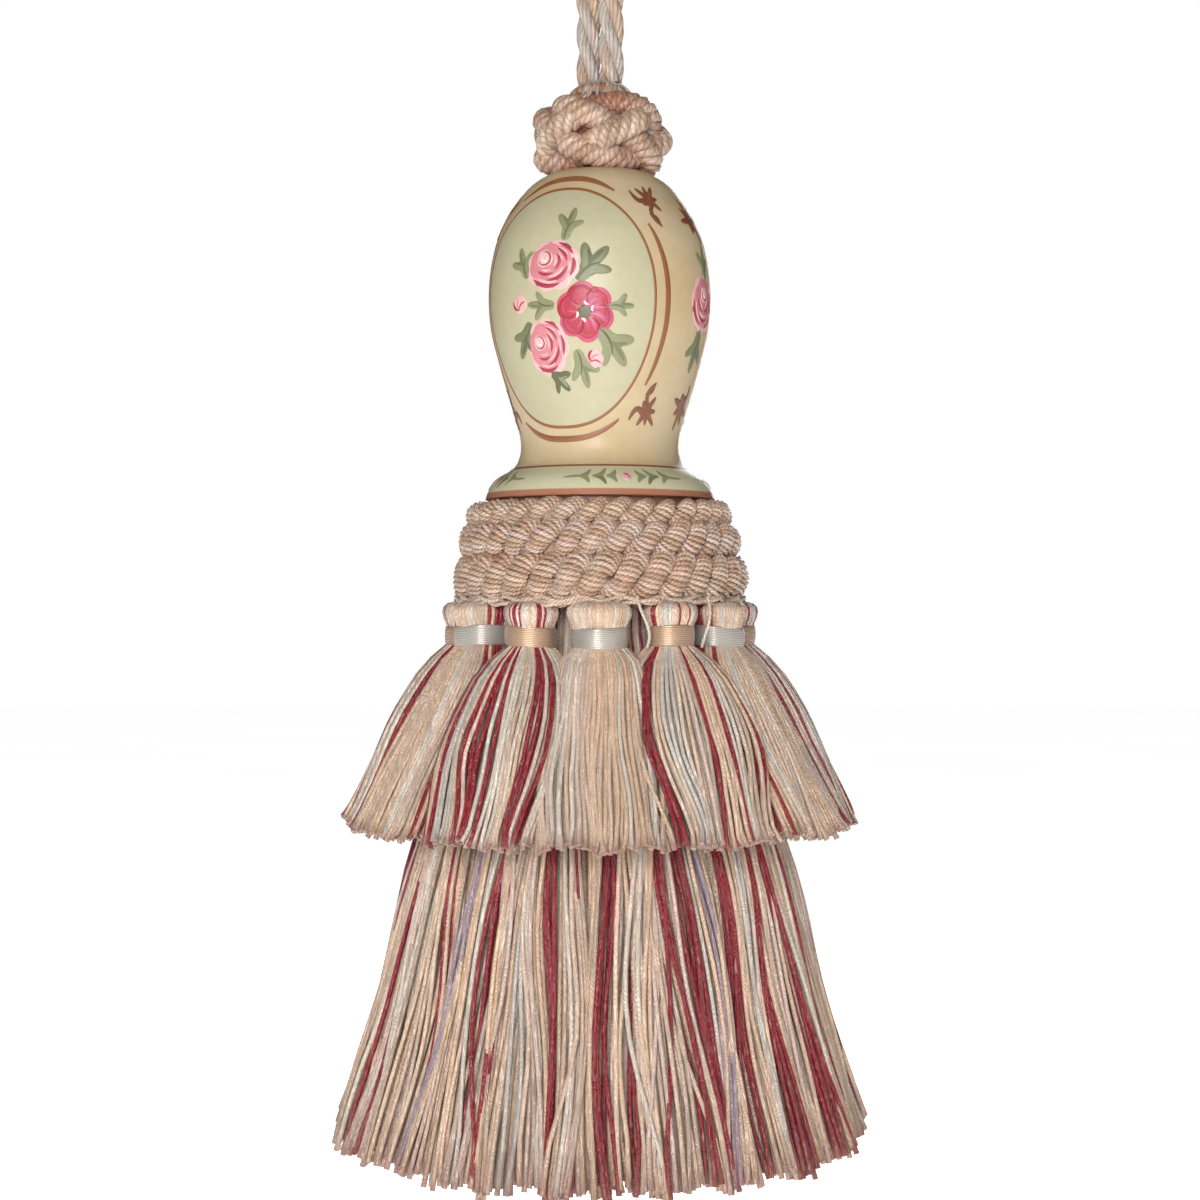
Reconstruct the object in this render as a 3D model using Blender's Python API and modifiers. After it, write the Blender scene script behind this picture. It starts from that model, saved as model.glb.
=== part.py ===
"""Tassel on a hanging loop, modelled piece by piece as it is made up.

A turned wooden head stands on a collar of three rope rounds. Twelve small tassels, each with
its own neck band, hang under the collar, and nine longer bunches of yarn under the head make
the lower skirt. A knot on top of the head holds both ends of the loop.

The model is in metres, with +Z up and its front towards -Y. Its origin is the hang point, at
the top of the loop's eye on the inner side. Sizes are given in millimetres, heights as a drop
from the hang point, and every mesh is brought to metres as it is made.
"""

import math
from typing import NamedTuple

import bmesh
import bpy
from mathutils import Matrix, Vector

MM = 0.001
CLEARANCE = 0.3


class Turning(NamedTuple):
    """A ring of a round outline: its drop and its radius."""

    drop: float
    radius: float


class Round(NamedTuple):
    """A rope round of the collar: its top, its outer radius and how far its top is scalloped."""

    drop: float
    outer: float
    scallop: float


class Kind(NamedTuple):
    """A kind of small tassel: how wide its head and neck are, against the sections' sizes."""

    name: str
    neck: float
    head_share: float


class Bundle(NamedTuple):
    """A level of a bundle of yarn: drop, distance from the axis, half width and half depth."""

    drop: float
    reach: float
    half_width: float
    half_depth: float


class Fan(NamedTuple):
    """A level of a skirt bunch: drop, distance from the axis, half angle and half depth."""

    drop: float
    reach: float
    half_angle: float
    half_depth: float


# Hanging loop: the route of one leg from the knot up to the top of the eye
CORD_DIAMETER = 4.8
CORD_STRANDS = 3
CORD_FLUTE = 0.17
CORD_LAY = 22.0
CORD_POINTS = 64
LOOP_TURN = math.radians(-32.0)
LEG_ROUTE = (
    (2.60, -76.2),
    (2.60, -70.5),
    (2.60, -64.8),
    (2.70, -59.0),
    (3.05, -53.0),
    (3.75, -46.8),
    (4.80, -40.5),
    (6.15, -34.2),
    (7.65, -28.0),
    (9.10, -22.2),
    (10.30, -17.0),
    (11.00, -12.6),
    (11.20, -8.60),
    (10.35, -4.31),
    (7.92, -0.68),
    (4.29, 1.75),
    (0.00, 2.60),
)

# Top knot: a barrel of interlaced strands between two flat ends
KNOT_SIDES = 42
KNOT_BIGHTS = 7
KNOT_COURSES = 3
KNOT_RISE = 1.5
KNOT_LEAN = math.radians(200.0)
KNOT_OUTLINE = (
    Turning(76.5, 0.0),
    Turning(76.5, 5.4),
    Turning(77.9, 6.6),
    Turning(79.2, 9.4),
    Turning(81.4, 11.2),
    Turning(84.2, 12.0),
    Turning(87.2, 12.2),
    Turning(90.0, 12.1),
    Turning(92.2, 11.7),
    Turning(93.7, 11.0),
    Turning(94.3, 9.8),
    Turning(94.3, 5.0),
    Turning(94.3, 0.0),
)

# Turned head: dome, waist and foot, then the plain core inside the collar
HEAD_STEPS = 36
CORE_RADIUS = 20.5
CORE_END = 179.6
HEAD_OUTLINE = (
    Turning(94.6, 0.0),
    Turning(94.6, 10.6),
    Turning(95.8, 12.6),
    Turning(100.4, 16.8),
    Turning(106.6, 20.2),
    Turning(112.8, 21.7),
    Turning(118.8, 22.15),
    Turning(125.2, 21.7),
    Turning(131.7, 20.2),
    Turning(138.1, 18.4),
    Turning(143.7, 16.7),
    Turning(147.3, 15.85),
    Turning(150.1, 15.95),
    Turning(152.7, 17.2),
    Turning(155.1, 20.7),
    Turning(157.3, 22.3),
    Turning(159.0, 22.9),
    Turning(159.3, CORE_RADIUS),
    Turning(CORE_END, CORE_RADIUS),
    Turning(CORE_END, 0.0),
)

# Collar: three rope rounds whose raised lobes lean to the right
ROUND_LOBES = 32
POINTS_PER_LOBE = 3
ROUND_SECTION_POINTS = 6
ROUND_HEIGHT = 6.3
ROUND_RISE = 1.3
ROUND_LEAN = math.radians(110.0)
COLLAR = (
    Round(159.9, 26.2, 0.9),
    Round(166.5, 27.9, 0.0),
    Round(173.1, 29.2, 0.0),
)

# Small tassels: levels from the top of the head to the cut hem
TASSELS = 12
TASSEL_LOCKS = 9
LOCK_RING_INNER = 0.52
LOCK_GAP_SHARE = 0.25
TASSEL_NECK = 4.6
TASSEL_KINDS = (
    Kind("plain", TASSEL_NECK, 1.0),
    Kind("striped", 0.86 * TASSEL_NECK, 0.86),
)
TASSEL_HEAD = (
    Bundle(183.9, 26.0, TASSEL_NECK, TASSEL_NECK),
    Bundle(181.9, 26.0, 5.9, 5.9),
    Bundle(CORE_END + CLEARANCE, 26.0, 4.2, 4.2),
)
TASSEL_ROOT = Bundle(188.0, 26.0, TASSEL_NECK, TASSEL_NECK)
TASSEL_FALL = (
    Bundle(190.8, 27.3, 6.3, 5.1),
    Bundle(205.0, 35.4, 9.0, 5.3),
    Bundle(223.0, 45.6, 11.6, 4.9),
)

# Neck bands: a wound band round each small tassel's neck
BAND_SIDES = 16
BAND_TOP = 184.2
BAND_HEIGHT = 3.5
BAND_SLACK = 0.4
BAND_THICKNESS = 0.5

# Lower skirt: bunches of locks in two rows, seated under the head's core
BUNCHES = 9
FIRST_BUNCH = math.radians(16.0)
LOCKS_ACROSS = 5
LOCK_ROWS = 2
BUNCH_TOP = Fan(CORE_END + CLEARANCE, 14.0, math.radians(15.5), 4.6)
BUNCH_ROOT = Fan(186.0, 14.4, math.radians(15.5), 4.6)
BUNCH_FALL = (
    Fan(205.0, 22.9, math.radians(16.6), 4.6),
    Fan(228.0, 31.5, math.radians(17.4), 4.8),
    Fan(257.0, 38.8, math.radians(18.7), 5.0),
    Fan(283.0, 46.7, math.radians(18.9), 6.0),
)

# Cut ends are uneven by this much, and so are the hems of neighbouring pieces
HEM_UNEVEN = 0.9

SMOOTH_ANGLE = math.radians(35.0)
MERGE_DISTANCE = 0.00001


def clear_scene():
    """Remove whatever the scene holds."""
    for thing in list(bpy.data.objects):
        bpy.data.objects.remove(thing, do_unlink=True)


def make_collection(name):
    """Add a collection under the scene's own."""
    collection = bpy.data.collections.new(name)
    bpy.context.scene.collection.children.link(collection)
    return collection


def make_material(name, colour, roughness, metallic=0.0):
    """Make a Principled BSDF material of one colour."""
    material = bpy.data.materials.new(name)
    material.use_nodes = True
    shader = material.node_tree.nodes["Principled BSDF"]
    shader.inputs["Base Color"].default_value = (*colour, 1.0)
    shader.inputs["Roughness"].default_value = roughness
    shader.inputs["Metallic"].default_value = metallic
    material.diffuse_color = (*colour, 1.0)
    return material


def add_object(name, data, material, collection):
    """Put a mesh or curve into the collection as a named object with its material."""
    thing = bpy.data.objects.new(name, data)
    if not data.materials:
        data.materials.append(material)
    collection.objects.link(thing)
    return thing


def mesh_from(bm, name):
    """Turn a bmesh in millimetres into a mesh in metres, with its faces pointing out."""
    bmesh.ops.recalc_face_normals(bm, faces=bm.faces)
    bmesh.ops.scale(bm, vec=(MM, MM, MM), verts=bm.verts)
    mesh = bpy.data.meshes.new(name)
    bm.to_mesh(mesh)
    bm.free()
    mesh.shade_smooth()
    mesh.set_sharp_from_angle(angle=SMOOTH_ANGLE)
    return mesh


def polyline_mesh(name, outline):
    """Make the mesh of a turned outline, a line of points at +X from top to bottom."""
    points = [(row.radius * MM, 0.0, -row.drop * MM) for row in outline]
    edges = [(i, i + 1) for i in range(len(points) - 1)]
    mesh = bpy.data.meshes.new(name)
    mesh.from_pydata(points, edges, [])
    return mesh


def smooth_route(points, count):
    """Read evenly numbered points from the smooth curve through a route's own points."""
    padded = [2 * points[0] - points[1], *points, 2 * points[-1] - points[-2]]
    spans = len(points) - 1
    route = []
    for i in range(count):
        along = i * spans / (count - 1)
        span = min(int(along), spans - 1)
        t = along - span
        a, b, c, d = padded[span:span + 4]
        route.append(
            0.5 * (2 * b + (c - a) * t + (2 * a - 5 * b + 4 * c - d) * t**2 + (3 * b - a - 3 * c + d) * t**3)
        )
    return route


def loop_route():
    """Give the loop's centreline, up one leg, round the eye and down the other, in millimetres."""
    turn = Matrix.Rotation(LOOP_TURN, 3, "Z")
    one_leg = [Vector((across, 0.0, height)) for across, height in LEG_ROUTE]
    other_leg = [Vector((-point.x, 0.0, point.z)) for point in reversed(one_leg[:-1])]
    return [turn @ point for point in smooth_route(one_leg + other_leg, CORD_POINTS)]


def cord_section(guides):
    """Make the cord's fluted section, a closed flat curve with three points for each strand."""
    count = 3 * CORD_STRANDS
    curve = bpy.data.curves.new("cord_section", "CURVE")
    spline = curve.splines.new("POLY")
    spline.points.add(count - 1)
    for i, point in enumerate(spline.points):
        angle = -2 * math.pi * i / count
        flute = CORD_FLUTE * (1 - math.cos(CORD_STRANDS * angle)) / 2
        radius = CORD_DIAMETER / 2 * (1 - flute) * MM
        point.co = (radius * math.cos(angle), radius * math.sin(angle), 0.0, 1.0)
    spline.use_cyclic_u = True
    section = bpy.data.objects.new("cord_section", curve)
    guides.objects.link(section)
    section.hide_render = True
    section.display_type = "WIRE"
    return section


def make_loop(material, collection, guides):
    """Make the hanging loop: a laid cord, swept along its route with the twist of its strands."""
    route = loop_route()
    curve = bpy.data.curves.new("hanging_loop", "CURVE")
    curve.dimensions = "3D"
    curve.bevel_mode = "OBJECT"
    curve.bevel_object = cord_section(guides)
    curve.use_fill_caps = True
    spline = curve.splines.new("POLY")
    spline.points.add(len(route) - 1)
    run = 0.0
    for i, place in enumerate(route):
        run += (place - route[i - 1]).length if i else 0.0
        spline.points[i].co = (*(place * MM), 1.0)
        spline.points[i].tilt = -2 * math.pi * run / CORD_LAY
    return add_object("hanging_loop", curve, material, collection)


def make_knot(material, collection):
    """Make the top knot: a round body whose raised bights lean one way and then the other."""
    rows = len(KNOT_OUTLINE) - 1
    bm = bmesh.new()
    bmesh.ops.create_uvsphere(bm, u_segments=KNOT_SIDES, v_segments=rows, radius=1.0)
    for vert in bm.verts:
        angle = math.atan2(vert.co.y, vert.co.x)
        level = math.acos(max(-1.0, min(1.0, vert.co.z))) / math.pi * rows
        row = KNOT_OUTLINE[round(level)]
        course = (level - 2) / (rows - 4) * KNOT_COURSES
        radius = row.radius
        if 0.0 < course < KNOT_COURSES:
            lean = KNOT_LEAN * abs(course % 2 - 1)
            bight = abs(math.cos((KNOT_BIGHTS * angle + lean) / 2))
            radius += KNOT_RISE * bight * math.sin(math.pi * course / KNOT_COURSES) ** 0.5
        vert.co = (radius * math.cos(angle), radius * math.sin(angle), -row.drop)
    return add_object("top_knot", mesh_from(bm, "top_knot"), material, collection)


def make_head(material, collection):
    """Turn the head: its outline swept once round the axis."""
    thing = add_object("turned_head", polyline_mesh("turned_head", HEAD_OUTLINE), material, collection)
    turned = thing.modifiers.new("Turned", "SCREW")
    turned.axis = "Z"
    turned.angle = 2 * math.pi
    turned.steps = HEAD_STEPS
    turned.render_steps = HEAD_STEPS
    turned.use_merge_vertices = True
    turned.merge_threshold = MERGE_DISTANCE
    turned.use_smooth_shade = True
    return thing


def shape_round(bm, size):
    """Move a unit torus's points to a rope round with leaning lobes on its outer side."""
    inner = CORE_RADIUS + CLEARANCE
    middle = (inner + size.outer - ROUND_RISE) / 2
    half_depth = (size.outer - ROUND_RISE - inner) / 2
    half_height = ROUND_HEIGHT / 2
    shoulder = math.sin(2 * math.pi / ROUND_SECTION_POINTS)
    for vert in bm.verts:
        angle = math.atan2(vert.co.y, vert.co.x)
        turn = math.atan2(vert.co.z, math.hypot(vert.co.x, vert.co.y) - 1.0)
        outward = math.cos(turn)
        upward = math.sin(turn) / shoulder
        crest = 0.5 + 0.5 * math.cos(ROUND_LOBES * angle - ROUND_LEAN * upward)
        radius = middle + half_depth * outward + ROUND_RISE * crest * max(0.0, outward) ** 0.5
        height = half_height * upward
        if outward > 0.0 and upward > 0.5:
            height += size.scallop * crest
        vert.co = (radius * math.cos(angle), radius * math.sin(angle), height - size.drop - half_height)


def make_collar(material, collection):
    """Make the collar's three rope rounds."""
    for number, size in enumerate(COLLAR, start=1):
        bpy.ops.mesh.primitive_torus_add(
            major_segments=ROUND_LOBES * POINTS_PER_LOBE,
            minor_segments=ROUND_SECTION_POINTS,
            major_radius=1.0,
            minor_radius=0.25,
        )
        template = bpy.context.object
        bm = bmesh.new()
        bm.from_mesh(template.data)
        bpy.data.objects.remove(template, do_unlink=True)
        shape_round(bm, size)
        name = f"collar_round_{number}"
        add_object(name, mesh_from(bm, name), material, collection)


def draw_up(bm, levels):
    """Raise the open rim of a template by whole levels, and close it with a cap."""
    rim = [edge for edge in bm.edges if edge.is_boundary]
    for _ in range(levels):
        drawn = bmesh.ops.extrude_edge_only(bm, edges=rim)["geom"]
        bmesh.ops.translate(bm, vec=(0, 0, 1), verts=[v for v in drawn if isinstance(v, bmesh.types.BMVert)])
        rim = [edge for edge in drawn if isinstance(edge, bmesh.types.BMEdge) and edge.is_boundary]
    bmesh.ops.contextual_create(bm, geom=rim)


def draw_down(bm, roots, levels):
    """Draw each root face down by whole levels, as a lock of its own."""
    for _ in range(levels):
        roots = bmesh.ops.extrude_discrete_faces(bm, faces=roots)["faces"]
        tips = {vert for face in roots for vert in face.verts}
        bmesh.ops.translate(bm, vec=(0, 0, -1), verts=list(tips))


def widths_passed(index):
    """Count the lock widths before the edge with this number, where locks and gaps take turns."""
    return index // 2 * (1 + LOCK_GAP_SHARE) + index % 2


def uneven(x, y, share):
    """Give the extra length of a lock whose place in its bundle is x, y."""
    return share * HEM_UNEVEN * math.sin(5.3 * x + 2.9 * y + 0.7)


def tassel_mesh(kind):
    """Make a small tassel: a round head and neck, with a ring of locks drawn down from it."""
    bm = bmesh.new()
    disc = bmesh.ops.create_circle(bm, cap_ends=True, segments=2 * TASSEL_LOCKS, radius=1.0)
    face = disc["verts"][0].link_faces[0]
    inset = 1.0 - LOCK_RING_INNER
    ring = bmesh.ops.inset_individual(bm, faces=[face], thickness=inset, use_even_offset=True)["faces"]
    ring.sort(key=lambda f: math.atan2(f.calc_center_median().x, -f.calc_center_median().y))
    for vert in bm.verts:
        index = round((math.atan2(vert.co.x, -vert.co.y) / math.pi + 1) * TASSEL_LOCKS)
        angle = math.pi * (2 * widths_passed(index) / widths_passed(2 * TASSEL_LOCKS) - 1)
        radius = vert.co.length
        vert.co = (radius * math.sin(angle), -radius * math.cos(angle), 0.0)
    draw_up(bm, len(TASSEL_HEAD))
    draw_down(bm, ring[::2], len(TASSEL_FALL))
    levels = (*reversed(TASSEL_HEAD), TASSEL_ROOT, *TASSEL_FALL)
    for vert in bm.verts:
        index = len(TASSEL_HEAD) - round(vert.co.z)
        row = levels[index]
        share = kind.head_share if index <= len(TASSEL_HEAD) else 1.0
        fallen = max(0, index - len(TASSEL_HEAD)) / len(TASSEL_FALL)
        across = row.half_width * share * vert.co.x
        out = row.reach - row.half_depth * share * vert.co.y
        drop = row.drop + uneven(vert.co.x, vert.co.y, fallen)
        vert.co = (across, -out, -drop)
    return mesh_from(bm, f"small_tassel_{kind.name}")


def band_mesh(kind):
    """Make the wall of a neck band, an open tube round the neck at the front."""
    bm = bmesh.new()
    radius = kind.neck + BAND_SLACK
    bmesh.ops.create_cone(
        bm, cap_ends=False, segments=BAND_SIDES, radius1=radius, radius2=radius, depth=BAND_HEIGHT
    )
    middle = BAND_TOP + BAND_HEIGHT / 2
    bmesh.ops.translate(bm, vec=(0.0, -TASSEL_ROOT.reach, -middle), verts=bm.verts)
    return mesh_from(bm, f"neck_band_{kind.name}")


def make_small_tassels(materials, collection):
    """Set the small tassels and their neck bands round the collar, the kinds taking turns."""
    tassels = [tassel_mesh(kind) for kind in TASSEL_KINDS]
    bands = [band_mesh(kind) for kind in TASSEL_KINDS]
    for i in range(TASSELS):
        kind = i % len(TASSEL_KINDS)
        turn = 2 * math.pi * i / TASSELS
        tassel = add_object(f"small_tassel_{i + 1:02d}", tassels[kind], materials["yarn"][kind], collection)
        tassel.rotation_euler.z = turn
        band = add_object(f"neck_band_{i + 1:02d}", bands[kind], materials["band"][kind], collection)
        band.rotation_euler.z = turn
        wall = band.modifiers.new("Wall", "SOLIDIFY")
        wall.thickness = BAND_THICKNESS * MM
        wall.offset = 1.0


def bunch_mesh(number):
    """Make a skirt bunch: a gathered top with two rows of locks drawn down and out from it."""
    cells = 2 * LOCKS_ACROSS - 1
    rows = 2 * LOCK_ROWS - 1
    bm = bmesh.new()
    bmesh.ops.create_grid(bm, x_segments=cells, y_segments=rows, size=1.0)
    roots = []
    for face in bm.faces:
        place = face.calc_center_median()
        column = int((place.x + 1) / 2 * cells)
        row = int((place.y + 1) / 2 * rows)
        if column % 2 == 0 and row % 2 == 0:
            roots.append(face)
    for vert in bm.verts:
        vert.co.x = lock_edge(round((vert.co.x + 1) / 2 * cells), LOCKS_ACROSS)
        vert.co.y = lock_edge(round((vert.co.y + 1) / 2 * rows), LOCK_ROWS)
    draw_up(bm, 1)
    draw_down(bm, roots, len(BUNCH_FALL))
    levels = (BUNCH_TOP, BUNCH_ROOT, *BUNCH_FALL)
    for vert in bm.verts:
        index = 1 - round(vert.co.z)
        row = levels[index]
        fallen = max(0, index - 1) / len(BUNCH_FALL)
        angle = row.half_angle * vert.co.x
        out = row.reach - row.half_depth * vert.co.y
        drop = row.drop + uneven(vert.co.x + number, vert.co.y, fallen)
        vert.co = (out * math.sin(angle), -out * math.cos(angle), -drop)
    return mesh_from(bm, f"skirt_bunch_{number}")


def lock_edge(index, locks):
    """Give the place, from -1 to 1, of the edge with this number in a row of locks and gaps."""
    return 2 * widths_passed(index) / widths_passed(2 * locks - 1) - 1


def make_skirt(material, collection):
    """Set the skirt's bunches round the axis."""
    for i in range(BUNCHES):
        name = f"skirt_bunch_{i + 1}"
        bunch = add_object(name, bunch_mesh(i + 1), material, collection)
        bunch.rotation_euler.z = FIRST_BUNCH + 2 * math.pi * i / BUNCHES


def main():
    """Build the tassel from the loop down."""
    clear_scene()
    tassel = make_collection("tassel")
    guides = make_collection("guides")
    guides.hide_render = True
    cord = make_material("laid cord", (0.70, 0.61, 0.49), 0.55)
    gimp = make_material("peach gimp", (0.66, 0.42, 0.28), 0.50)
    paint = make_material("cream paint", (0.72, 0.58, 0.38), 0.45)
    plain_yarn = make_material("plain yarn", (0.68, 0.47, 0.32), 0.55)
    striped_yarn = make_material("striped yarn", (0.55, 0.32, 0.26), 0.55)
    silver_band = make_material("silver satin", (0.72, 0.70, 0.66), 0.30)
    peach_band = make_material("peach satin", (0.72, 0.50, 0.36), 0.30)
    skirt_yarn = make_material("skirt yarn", (0.60, 0.38, 0.28), 0.55)
    make_loop(cord, tassel, guides)
    make_knot(gimp, tassel)
    make_head(paint, tassel)
    make_collar(gimp, tassel)
    make_small_tassels({"yarn": (plain_yarn, striped_yarn), "band": (silver_band, peach_band)}, tassel)
    make_skirt(skirt_yarn, tassel)


main()
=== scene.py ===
"""The tassel's looks: its cord, knot, painted head, collar, small tassels and skirt.

Sizes are in millimetres, with heights as a drop below the hang point at the top of the loop's
eye. The front faces -Y, and an angle round the axis runs from the front towards +X. Meshes are
brought to metres as they are made.
"""

import logging
import math
from dataclasses import dataclass, field
from enum import Enum
from typing import NamedTuple, Union

import bpy
import numpy as np
import numpy.typing as npt
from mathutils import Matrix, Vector


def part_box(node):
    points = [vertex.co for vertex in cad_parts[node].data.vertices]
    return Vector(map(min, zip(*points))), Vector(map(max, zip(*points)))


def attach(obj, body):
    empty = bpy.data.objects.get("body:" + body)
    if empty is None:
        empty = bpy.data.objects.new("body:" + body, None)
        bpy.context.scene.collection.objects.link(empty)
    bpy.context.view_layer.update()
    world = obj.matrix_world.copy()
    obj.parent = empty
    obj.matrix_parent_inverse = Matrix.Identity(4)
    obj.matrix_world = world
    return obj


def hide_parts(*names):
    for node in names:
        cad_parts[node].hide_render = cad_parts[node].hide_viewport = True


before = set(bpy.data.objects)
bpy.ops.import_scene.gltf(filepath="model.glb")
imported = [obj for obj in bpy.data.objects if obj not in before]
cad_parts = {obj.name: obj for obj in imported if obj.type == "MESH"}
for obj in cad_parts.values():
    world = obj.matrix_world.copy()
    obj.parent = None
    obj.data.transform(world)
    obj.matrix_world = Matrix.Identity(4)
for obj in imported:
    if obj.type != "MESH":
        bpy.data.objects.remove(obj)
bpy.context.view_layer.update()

Array = npt.NDArray[np.float64]
MM = 0.001
TAU = 2 * math.pi
BODY = "root"
SMALL_TASSELS = 12
NECK = 4.6
NECK_REACH = 26.0
UP = np.array((0.0, 0.0, 1.0))

LOG = logging.getLogger("tassel")


class Shade(Enum):
    """The object's colours, given as screen values from 0 to 255."""

    PEACH = (201, 172, 149)
    GOLD = (197, 167, 140)
    SAND = (182, 158, 138)
    IVORY = (201, 188, 173)
    PEARL = (189, 178, 167)
    BLUSH = (197, 171, 158)
    WINE = (132, 15, 30)
    MAUVE = (150, 130, 138)
    TERRACOTTA = (159, 106, 82)
    GIMP = (183, 153, 130)
    GIMP_DEEP = (165, 132, 107)
    RUST = (117, 61, 42)
    CUT_END = (132, 87, 74)
    CREAM = (180, 162, 131)
    TAN = (175, 153, 117)
    MEDALLION = (167, 161, 132)
    FOOT_CREAM = (180, 175, 145)
    FOOT_BROWN = (156, 106, 82)
    LINE_BROWN = (128, 80, 49)
    FLOURISH = (112, 68, 47)
    LEAF = (104, 106, 74)
    LEAF_LIGHT = (124, 124, 91)
    LEAF_DARK = (82, 87, 58)
    ROSE = (187, 115, 122)
    ROSE_LIGHT = (203, 159, 156)
    ROSE_DARK = (145, 44, 65)
    CRIMSON = (156, 32, 54)
    CRIMSON_LIGHT = (173, 68, 95)
    LILAC = (175, 110, 143)
    WHITE = (210, 201, 193)
    SILVER = (174, 167, 158)
    SATIN_PEACH = (174, 144, 118)

    def linear(self) -> Array:
        """Give the colour as linear light, from 0 to 1."""
        screen = np.array(self.value) / 255
        return np.where(screen <= 0.04045, screen / 12.92, ((screen + 0.055) / 1.055) ** 2.4)

    @property
    def colour(self) -> tuple[float, ...]:
        """The same as a shader's socket takes it."""
        return tuple(self.linear())


def tints_of(*shades: Shade) -> Array:
    """Give shades as linear light, one row each."""
    return np.array([shade.linear() for shade in shades])


def blend_rows(at: npt.ArrayLike, knots: npt.ArrayLike, values: npt.ArrayLike) -> Array:
    """Read a smooth curve through rows of values.

    Args:
        at: the places to read at, along the knots.
        knots: the rows' places, rising.
        values: a value for each row.

    Returns:
        The curve's values at those places.
    """
    knots = np.asarray(knots, float)
    values = np.asarray(values, float)
    slopes = np.gradient(values, knots)
    at = np.clip(np.asarray(at, float), knots[0], knots[-1])
    span = np.clip(np.searchsorted(knots, at, side="right") - 1, 0, len(knots) - 2)
    width = knots[span + 1] - knots[span]
    t = (at - knots[span]) / width
    rest = 1 - t
    return (
        (1 + 2 * t) * rest**2 * values[span]
        + t * rest**2 * width * slopes[span]
        + t**2 * (3 - 2 * t) * values[span + 1]
        - t**2 * rest * width * slopes[span + 1]
    )


def ease(share: npt.ArrayLike) -> Array:
    """Turn a share from 0 to 1 into one that starts and ends slowly."""
    share = np.clip(share, 0.0, 1.0)
    return share * share * (3 - 2 * share)


def unit(vectors: Array) -> Array:
    """Bring vectors to length one."""
    return vectors / np.linalg.norm(vectors, axis=-1, keepdims=True)


def ring(count: int) -> Array:
    """Give angles spread evenly round a turn."""
    return TAU * np.arange(count) / count


def away(points: Array) -> Array:
    """Give the level direction away from the tassel's axis at each point."""
    return unit(points * (1, 1, 0))


def turn_round(points: Array, angle: npt.ArrayLike) -> Array:
    """Turn points round the tassel's axis by an angle in radians."""
    x, y, z = np.moveaxis(points, -1, 0)
    across, deep = x * np.cos(angle) - y * np.sin(angle), x * np.sin(angle) + y * np.cos(angle)
    return np.stack((across, deep, z), axis=-1)


def round_axis(angle: npt.ArrayLike, radius: npt.ArrayLike, drop: npt.ArrayLike) -> Array:
    """Place points round the tassel's axis.

    Args:
        angle: from the front towards +X, in radians.
        radius: distance from the axis.
        drop: distance below the hang point.

    Returns:
        The points, in millimetres.
    """
    angle, radius, drop = np.broadcast_arrays(angle, radius, drop)
    return np.stack((radius * np.sin(angle), -radius * np.cos(angle), -drop), axis=-1)


def spread_evenly(count: int, seed: int) -> Array:
    """Spread places evenly over a square from -1 to 1, in an order that looks like chance.

    Args:
        count: how many places.
        seed: which of the endless patterns to take.

    Returns:
        The places, one row each.
    """
    steps = np.array((0.7548776662, 0.5698402910))
    return 2 * ((np.arange(1, count + 1)[:, None] * steps + 0.137 * seed) % 1.0) - 1


def square_to_disc(places: Array) -> Array:
    """Squeeze places on a square into a disc, keeping them evenly spread."""
    x, y = places[:, 0], places[:, 1]
    return np.stack((x * np.sqrt(1 - y**2 / 2), y * np.sqrt(1 - x**2 / 2)), axis=-1)


def even_ring(count: int, flatness: float, shift: float) -> Array:
    """Spread places round the unit circle so that they lie evenly once it is flattened.

    Args:
        count: how many places.
        flatness: how deep the flattened ring is, against its width.
        shift: how far the places are moved on, in steps.

    Returns:
        The places, one row each, before they are flattened.
    """
    turn = np.linspace(0.0, TAU, 721)
    run = np.append(0.0, np.cumsum(np.hypot(np.diff(np.cos(turn)), flatness * np.diff(np.sin(turn)))))
    wanted = (np.arange(count) + shift % 1.0) / count * run[-1]
    angle = np.interp(wanted, run, turn)
    return np.stack((np.cos(angle), np.sin(angle)), axis=-1)


def blend(first: Array, second: Array, share: npt.ArrayLike) -> Array:
    """Blend two colours, or rows of them, by a share for each point."""
    share = np.asarray(share, float)[..., None]
    return first * (1 - share) + second * share


def fall_frames(lines: Array, reference: npt.ArrayLike) -> tuple[Array, Array, Array]:
    """Work out the directions along and across lines of points.

    Args:
        lines: points, the last two axes being the points along a line and their coordinates.
        reference: the direction in which the first cross direction points, as near as can be.

    Returns:
        The directions along the lines, and two directions across them.
    """
    along = unit(np.gradient(lines, axis=-2))
    reference = np.broadcast_to(np.asarray(reference, float), lines.shape)
    across = unit(reference - (reference * along).sum(-1, keepdims=True) * along)
    return along, across, np.cross(along, across)


def ply(line: Array, reference: npt.ArrayLike, strands: int, offset: float, turns: npt.ArrayLike) -> Array:
    """Twist several strands round a line.

    Args:
        line: the points of the line that they are twisted round.
        reference: the direction from which the twist is measured, at each point or for all.
        strands: how many strands.
        offset: distance of a strand's middle from the line.
        turns: the number of turns made by each point; a rising count twists to the left.

    Returns:
        The strands' middle lines, the first axis being the strand.
    """
    _, across, third = fall_frames(line, reference)
    start = ring(strands)[:, None]
    twist = (start - TAU * np.asarray(turns))[..., None]
    return line + offset * (np.cos(twist) * across + np.sin(twist) * third)


def run_lengths(lines: Array) -> Array:
    """Measure the length from the start of each line to each of its points."""
    steps = np.linalg.norm(np.diff(lines, axis=-2), axis=-1)
    return np.concatenate((np.zeros(steps.shape[:-1] + (1,)), np.cumsum(steps, axis=-1)), axis=-1)


def closed_turns(line: Array, lay: float) -> Array:
    """Count the turns made by each point of a closed line, about one turn for each lay's length."""
    run = run_lengths(np.concatenate((line, line[:1])))
    return run[:-1] / run[-1] * round(run[-1] / lay)


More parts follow.
